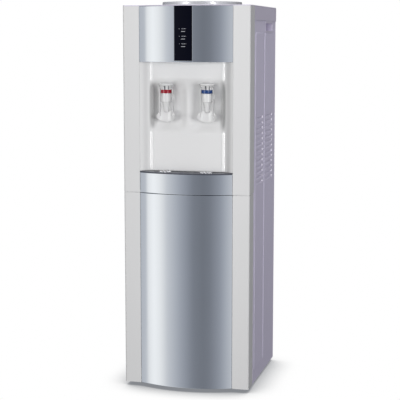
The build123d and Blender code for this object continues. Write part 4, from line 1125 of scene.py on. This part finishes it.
@dataclass
class Cabinet:
    """Top cover, the lips in the seam over the door, and the feet."""

    bow: Bow
    seat: BottleSeat
    cover_lip: float = 0.002
    cover_edge: float = 0.0006
    corner: float = 0.004
    front_samples: int = 33
    side_samples: int = 10
    skirt_thick: float = 0.0012
    skirt_edge: float = 0.0007
    seam_half: float = 0.0008
    seam_edge: float = 0.0003
    seam_front: float = 0.0022
    seam_rear: float = 0.006
    seam_inner: float = 0.001
    seam_outer: float = 0.0012
    feet_y: tuple[float, float] = (-0.0735, 0.1402)
    foot: float = 0.017
    foot_height: float = 0.009
    foot_edge: float = 0.002
    foot_taper: float = 0.75
    foot_softness: float = 0.0012
    foot_steps: int = 40
    stud: float = 0.004

    def build(self) -> None:
        """Makes the cover with its skirt, the light lips in the seam over the door, and the feet."""
        self.build_cover()
        half, seam = node_box("top_cover")[1, 0], node_box("tray_front")[0, 2]
        front = self.bow.front + self.seam_front
        rear = node_box("right_side_panel")[0, 1] - self.seam_rear
        inner, outer = self.bow.half + self.seam_inner, half - self.seam_outer
        low, high = seam - self.seam_half, seam + self.seam_half
        lips = [
            soft_prism(rectangle(x0, x1, front, rear), low, high, self.seam_edge)
            for x0, x1 in ((-outer, -inner), (inner, outer))
        ]
        place("seam_lips", Shell.joined(lips), WHITE, "cabinet")
        reach, _, top = node_box("feet")[1]
        outline = [
            (0.0, 0.0), (self.foot - self.foot_edge, 0.0), (self.foot, self.foot_edge),
            (self.foot * self.foot_taper, self.foot_height), (self.stud, self.foot_height), (self.stud, top),
            (0.0, top),
        ]
        outline = soft_corners(outline, self.foot_softness)
        feet = [
            turned(outline, (side * (reach - self.foot), y, 0.0), steps=self.foot_steps)
            for y in self.feet_y for side in LEFT_AND_RIGHT
        ]
        place("moulded_feet", Shell.joined(feet), BLACK, "cabinet", ("feet",))

    def outline(self) -> np.ndarray:
        """Plan of the cover, anticlockwise: bowed front between the pillars, square rear, cut corners."""
        half, rear, _ = node_box("top_cover")[1]
        front, edge, bend = self.bow.front, self.corner, self.bow.half + self.corner / 2
        sides = [
            (bend, front), (half - edge, front), (half, front + edge), (half, rear - edge),
            (half - edge, rear), (-half + edge, rear), (-half, rear - edge), (-half, front + edge),
            (-half + edge, front), (-bend, front),
        ]
        bowed = self.bow.line(-self.bow.half, self.bow.half, samples=self.front_samples)
        corner = np.vstack([bowed, sides])[:, None]
        share = np.linspace(0.0, 1.0, self.side_samples, endpoint=False)[None, :, None]
        return (corner * (1 - share) + np.roll(corner, -1, 0) * share).reshape(-1, 2)

    def build_cover(self) -> None:
        """Makes the cover as one ring of sections, and the skirts under its sides and rear.

        Each point of its outline has a section in line with the hole's middle, which goes from the lower
        edge up round the lip, in over the top to the hole and back underneath.
        """
        (_, _, skirt), (half, rear, top) = node_box("top_cover")
        shelf, front = top - self.cover_lip, node_box("right_side_panel")[0, 1]
        x, y = self.outline().T
        y = y - self.seat.y
        turn, reach = np.arctan2(y, x), np.hypot(x, y)
        hole = np.full_like(reach, self.seat.inner + GAP)
        section = [
            (reach, shelf), (reach, top - self.cover_edge), (reach - self.cover_edge, top), (hole, top),
            (hole, shelf),
        ]
        rings = np.stack([
            np.stack([r * np.cos(turn), r * np.sin(turn) + self.seat.y, np.full_like(turn, z)], -1)
            for r, z in section
        ])
        inside = half - self.skirt_thick
        skirts = [
            soft_prism(rectangle(*sides), skirt, shelf, self.skirt_edge)
            for sides in (
                (-half, -inside, front, rear), (inside, half, front, rear),
                (-inside, inside, rear - self.skirt_thick, rear),
            )
        ]
        shell = Shell.joined([Shell.loft(rings, closed=True)] + skirts)
        place("cover_top", shell, GREY, "cabinet", ("top_cover",))


@dataclass
class SideLouvres:
    """Rounded rear ends of the louvres in both sides, painted lighter than the sides as a painted highlight.
    """

    ends: tuple[float, float] = (0.0075, 0.1315)
    first: float = 0.512
    pitch: float = 0.0135
    rows: int = 13
    height: float = 0.0073
    foot: float = 0.0011
    field_depth: float = 0.0005
    sink: float = 0.0026
    proud: float = 0.0004
    edge: float = 0.0004
    near: float = 0.0016
    far: float = 0.0009

    def build(self) -> bpy.types.Object:
        """Makes the ends, which face the front and so catch its light and are painted lighter as a painted
        highlight, and gives them back.
        """
        ends = [
            self.end(side, y, self.first + row * self.pitch)
            for side in LEFT_AND_RIGHT for y in self.ends for row in range(self.rows)
        ]
        return place("louvre_end_highlights", Shell.joined(ends), LOUVRE_HIGHLIGHT, "cabinet")

    def end(self, side: float, y: float, z: float) -> Shell:
        """One end, a wedge between the slope of the louvre and the field round it.

        Args:
            side: Minus one for the left side, one for the right.
            y: Y of the louvre's end.
            z: Z of the louvre's foot.

        Returns:
            The surface.
        """
        face = node_box("right_side_panel")[1, 0] - self.field_depth
        outer, top = face + self.proud, z + self.height
        section = soft_corners([(outer, z + self.foot), (outer, top), (face - self.sink, top)], self.edge, 4)
        x = np.broadcast_to(side * section[None, :, 0], (2, len(section)))
        depth = np.array([[y - self.near], [y - self.far]]) + np.zeros_like(x)
        height = np.broadcast_to(section[None, :, 1], x.shape)
        return Shell.loft(np.stack([x, depth, height], -1))


@dataclass
class RearFittings:
    """Screws of the rear panel."""

    heights: tuple[float, ...] = (0.0215, 0.7513, 0.906)
    head: float = 0.0035
    head_rise: float = 0.002
    head_fall: float = 0.75
    head_rows: int = 15
    head_steps: int = 48
    crease: float = 30.0
    recess: float = 0.001
    recess_half: float = 0.14
    recess_reach: float = 0.62
    shank: float = 0.45
    shank_length: float = 0.005

    def build(self) -> None:
        """Makes the screws."""
        reach, top, _ = node_box("rear_screws")[1]
        x, face = reach - self.head, top - self.head_rise
        screws = [self.screw(side * x, face, z) for side in LEFT_AND_RIGHT for z in self.heights]
        place("panel_screws", Shell.joined(screws), ZINC, "cabinet", ("rear_screws",), self.crease)

    def screw(self, x: float, face: float, z: float) -> Shell:
        """Domed screw head with a cross recess.

        The height over the face is rise (1 - fall r^4), less the recess where a point lies within its arms'
        half width of either axis and within their reach.

        Args:
            x: X of the screw.
            face: Y of the face that it sits on.
            z: Z of the screw.

        Returns:
            The surface.
        """
        share = np.linspace(0.0, 1.0, self.head_rows)[:, None]
        turn = turns(self.head_steps)[None]
        across, up = share * np.cos(turn), share * np.sin(turn)
        arms = (np.minimum(np.abs(across), np.abs(up)) < self.recess_half) & (share < self.recess_reach)
        rise = self.head_rise * (1 - share ** 4 * self.head_fall) - self.recess * arms
        dome = np.stack([x + self.head * across, face + rise, z + self.head * up], -1)
        level = np.full_like(turn, face)
        rings = [
            np.stack([x + radius * np.cos(turn), level - drop, z + radius * np.sin(turn)], -1)
            for radius, drop in (
                (self.head, 0.0), (self.shank * self.head, 0.0), (self.shank * self.head, self.shank_length),
            )
        ]
        return Shell.loft(np.concatenate([dome] + rings))


class Shine(Enum):
    """How a light shows on the pieces that it lights."""

    MIRRORED = "as a mirror image alone"
    SCATTERED = "all over, without a mirror image"
    BOTH = "all over and as a mirror image"


@dataclass
class Studio:
    """Floor, lights and camera."""

    eye: tuple[float, float, float] = (0.750987, -2.965551, 0.873245)
    yaw: float = 0.24894
    pitch: float = 0.13388
    lens: float = 107.23
    sensor: float = 36.0
    view_end: float = 100.0
    stand_distance: float = 3.0
    floor_reach: float = 12.0
    floor_shade: tuple[float, float, float, float] = (0.235, 0.245, 0.265, 1.0)
    shade_reach: float = 0.1
    shade_span: tuple[float, float] = (0.2, 0.95)
    glow: float = 0.70
    glow_rise: float = 0.12
    glow_behind: float = 0.07
    front_tint: tuple[float, float, float, float] = (0.88, 0.94, 1.08, 1.0)
    right_tint: tuple[float, float, float, float] = (0.94, 0.94, 1.08, 1.0)
    brightest: float = 1.2
    surroundings: tuple[tuple[float, float], ...] = (
        (-180, 0.1), (-110, 0.3), (-72, 0.55), (-57.2, 0.62), (-55.6, 0.94), (-48, 1.09), (-41, 0.98),
        (-36, 0.83), (-33, 0.71), (-18, 0.45), (-5, 0.265), (5, 0.225), (12, 0.25), (22, 0.37), (33, 0.61),
        (45, 0.75), (80, 0.5), (125, 0.1), (180, 0.1),
    )

    def build(self) -> None:
        """Makes the floor, the surroundings, the lamps and the camera."""
        self.build_floor()
        self.build_world()
        self.lamp("key", (0.5, -2.3, 1.06), (0.0, -0.1, 0.6), (1.0, 1.0), 26.0)
        self.lamp("side", (2.1, 0.7, 0.8), (0.1, 0.0, 0.6), (1.2, 1.2), 13.0)
        self.lamp("rear", (-1.8, 2.2, 1.5), (0.0, 0.1, 0.5), (1.2, 1.2), 40.0)
        self.lamp("top", (0.2, -0.3, 3.2), (0.0, 0.0, 0.0), (2.4, 2.4), 36.0)
        self.build_camera()
        bpy.context.scene.view_settings.view_transform = "Standard"

    def light_pieces(self, wall: bpy.types.Object, edge_highlight: bpy.types.Object, fittings: list[bpy.types.Object],
                     louvres: bpy.types.Object) -> None:
        """Stands the lights that only some pieces take.

        Args:
            wall: The niche wall, on which a strong light from the right and a weaker one from the left throw
                the taps' shadows in place of the key light.
            edge_highlight: The lighter sheet along the niche's upright edges, a painted highlight, which also
                mirrors a strip at each side.
            fittings: The taps, the collar and the grid's drops, which mirror a narrow strip at each side.
            louvres: The louvres' ends, painted lighter as a painted highlight, which a soft light also picks
                out.
        """
        niche = [wall, edge_highlight]
        for entry in self.link("key", niche).collection_objects:
            entry.light_linking.link_state = "EXCLUDE"
        self.stand("niche_sun", 46.0, (1.0, 1.0), 0.80, 30.0, niche, Shine.SCATTERED)
        self.stand("niche_fill", -16.0, (1.2, 1.2), 0.78, 23.0, niche, Shine.SCATTERED)
        self.stand("louvre_light", 35.0, (0.7, 0.8), 0.6, 24.0, [louvres], Shine.BOTH)
        self.stand("niche_left", 17.5, (0.4, 0.8), 0.45, 26.0, [edge_highlight], Shine.MIRRORED)
        self.stand("niche_right", -45.0, (0.4, 0.8), 0.45, 26.0, [edge_highlight], Shine.MIRRORED)
        self.stand("tap_left", -34.0, (0.36, 2.1), 1.0, 20.0, fittings, Shine.MIRRORED)
        self.stand("tap_right", 45.0, (0.36, 2.1), 1.0, 20.0, fittings, Shine.MIRRORED)

    def link(self, name: str, pieces: list[bpy.types.Object]) -> bpy.types.Collection:
        """Ties a light to some pieces.

        Args:
            name: Name of the light.
            pieces: The pieces that it lights.

        Returns:
            The collection of these pieces.
        """
        shown = bpy.data.collections.new(name)
        for piece in pieces:
            shown.objects.link(piece)
        bpy.data.objects[name].light_linking.receiver_collection = shown
        return shown

    def stand(self, name: str, angle: float, size: tuple[float, float], height: float, power: float,
              pieces: list[bpy.types.Object], shine: Shine) -> None:
        """Stands one light that only some pieces take.

        Args:
            name: Name of the light.
            angle: Its turn from the front in degrees, positive to the right.
            size: Width and height.
            height: Height of its middle.
            power: Power in watts.
            pieces: The pieces that it lights.
            shine: How it shows on them.
        """
        turn = math.radians(angle)
        spot = (self.stand_distance * math.sin(turn), -self.stand_distance * math.cos(turn), height)
        lamp = self.lamp(name, spot, (0.0, 0.0, height), size, power)
        lamp.visible_glossy = shine is not Shine.SCATTERED
        lamp.visible_diffuse = shine is not Shine.MIRRORED
        self.link(name, pieces)

    def build_floor(self) -> None:
        """Makes a plain pale floor whose only shade is the soft one where something stands close over it."""
        reach = self.floor_reach
        mesh = bpy.data.meshes.new("floor")
        corners = [(x, y, 0.0) for x, y in rectangle(-reach, reach, -reach, reach)]
        mesh.from_pydata(corners, [], [[0, 1, 2, 3]])
        material = bpy.data.materials.new("floor_finish")
        material.use_nodes = True
        tree = NodeTree(material.node_tree)
        inputs = {"Distance": self.shade_reach}
        open_sky = tree.node("ShaderNodeAmbientOcclusion", {"samples": 16}, inputs, "AO")
        shade = tree.mix(open_sky.ramp(*self.shade_span), self.floor_shade, PLAIN)
        bright = tree.node("ShaderNodeEmission", None, {"Color": shade, "Strength": 1.0})
        tree.finish("ShaderNodeOutputMaterial", bright)
        mesh.materials.append(material)
        floor = bpy.data.objects.new("floor", mesh)
        bpy.context.scene.collection.objects.link(floor)
        floor.visible_glossy = False
        floor.visible_diffuse = False

    def build_world(self) -> None:
        """Surrounds the cooler with a soft box at the left and a dim, bluish front.

        A direction's turn is atan2(x, -y) in degrees, zero in front and positive to the right. Mirror-like
        rays see the box. Scattered ones see a glow that comes mostly from the front, is dimmer from below
        and bluish from the right. The picture's background is plain white.
        """
        world = bpy.data.worlds.new("studio")
        bpy.context.scene.world = world
        world.use_nodes = True
        world.cycles.sampling_method = "NONE"
        tree = NodeTree(world.node_tree)
        way = tree.node("ShaderNodeTexCoord", None, None, "Generated")
        x, y, z = (tree.node("ShaderNodeSeparateXYZ", None, {0: way}, axis) for axis in range(3))
        turn = x.math("ARCTAN2", x, 0.0 - y) * (180.0 / math.pi)
        stops = [(0.5 + angle / 360.0, level / self.brightest) for angle, level in self.surroundings]
        seen = tree.node("ShaderNodeValToRGB", {"stops": stops}, {0: turn * (1 / 360.0) + 0.5})
        mirror = tree.node("ShaderNodeSeparateColor", None, {0: seen}) * self.brightest
        ahead = (0.0 - y).ramp(0.55, 1.0) * (1.0 - self.glow_behind) + self.glow_behind
        glow = (z.ramp(-1.0, 0.4) * self.glow_rise + self.glow) * ahead
        glossy = tree.node("ShaderNodeLightPath", None, None, "Is Glossy Ray")
        camera = tree.node("ShaderNodeLightPath", None, None, "Is Camera Ray")
        level = glow * (1.0 - glossy) + mirror * glossy
        level = level * (1.0 - camera) + camera
        cool = tree.mix(mirror.ramp(0.2, 1.0), self.front_tint, PLAIN)
        side = tree.mix(x.ramp(0.1, 0.9), PLAIN, self.right_tint)
        tint = tree.mix(camera, tree.mix(glossy, side, cool), PLAIN)
        back = tree.node("ShaderNodeBackground", None, {"Color": tint, "Strength": level})
        tree.finish("ShaderNodeOutputWorld", back)

    def lamp(self, name: str, spot: tuple[float, float, float], target: tuple[float, float, float],
             size: tuple[float, float], power: float) -> bpy.types.Object:
        """Hangs a rectangular soft light that has no mirror image of its own.

        Args:
            name: Name of the light.
            spot: Where it hangs.
            target: Point that it faces.
            size: Width and height.
            power: Power in watts.

        Returns:
            The light's object.
        """
        light = bpy.data.lights.new(name, "AREA")
        light.shape = "RECTANGLE"
        light.size, light.size_y = size
        light.energy = power
        lamp = bpy.data.objects.new(name, light)
        lamp.location = spot
        lamp.rotation_euler = (Vector(target) - Vector(spot)).to_track_quat("-Z", "Y").to_euler()
        lamp.visible_glossy = False
        lamp.visible_camera = False
        bpy.context.scene.collection.objects.link(lamp)
        return lamp

    def build_camera(self) -> None:
        """Sets the camera where the photograph was taken from."""
        level = math.cos(self.pitch)
        ahead = Vector((-math.sin(self.yaw) * level, math.cos(self.yaw) * level, -math.sin(self.pitch)))
        right = Vector((math.cos(self.yaw), math.sin(self.yaw), 0.0))
        up = right.cross(ahead)
        data = bpy.data.cameras.new("camera")
        data.sensor_width = self.sensor
        data.lens = self.lens
        data.clip_end = self.view_end
        camera = bpy.data.objects.new("camera", data)
        turn = Matrix((right, up, -ahead)).transposed().to_4x4()
        camera.matrix_world = Matrix.Translation(self.eye) @ turn
        bpy.context.scene.collection.objects.link(camera)
        bpy.context.scene.camera = camera


def dress_nodes(frame: dict) -> None:
    """Gives each node of the frame the finish of its slot.

    Args:
        frame: What the frame's loading gave back.
    """
    for entry in frame["record"]["subparts"]:
        node = frame["nodes"][entry["node"]]
        material = FINISHES[entry["material_slot"]].material()
        node.data.materials.clear()
        node.data.materials.append(material)
        LOG.info("%s: finish of %s", entry["node"], entry["material_slot"])


def corners(box: tuple) -> list[list[float]]:
    """A box as plain lists."""
    return [list(corner) for corner in box]


def main() -> None:
    """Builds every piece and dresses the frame."""
    logging.basicConfig(level=logging.INFO, format="%(message)s")
    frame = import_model()
    studio = Studio()
    studio.build()
    bow, seat = Bow.of_frame(), BottleSeat()
    hot, cold = Tap("hot", RED), Tap("cold", BLUE)
    StorageDoor(bow).build()
    fittings = [DripTray(bow, cold.x).build(), seat.build(), *hot.build(), *cold.build()]
    studio.light_pieces(*UpperFront(bow).build(), fittings, SideLouvres().build())
    Cabinet(bow, seat).build()
    RearFittings().build()
    dress_nodes(frame)


if __name__ == "__main__":
    main()
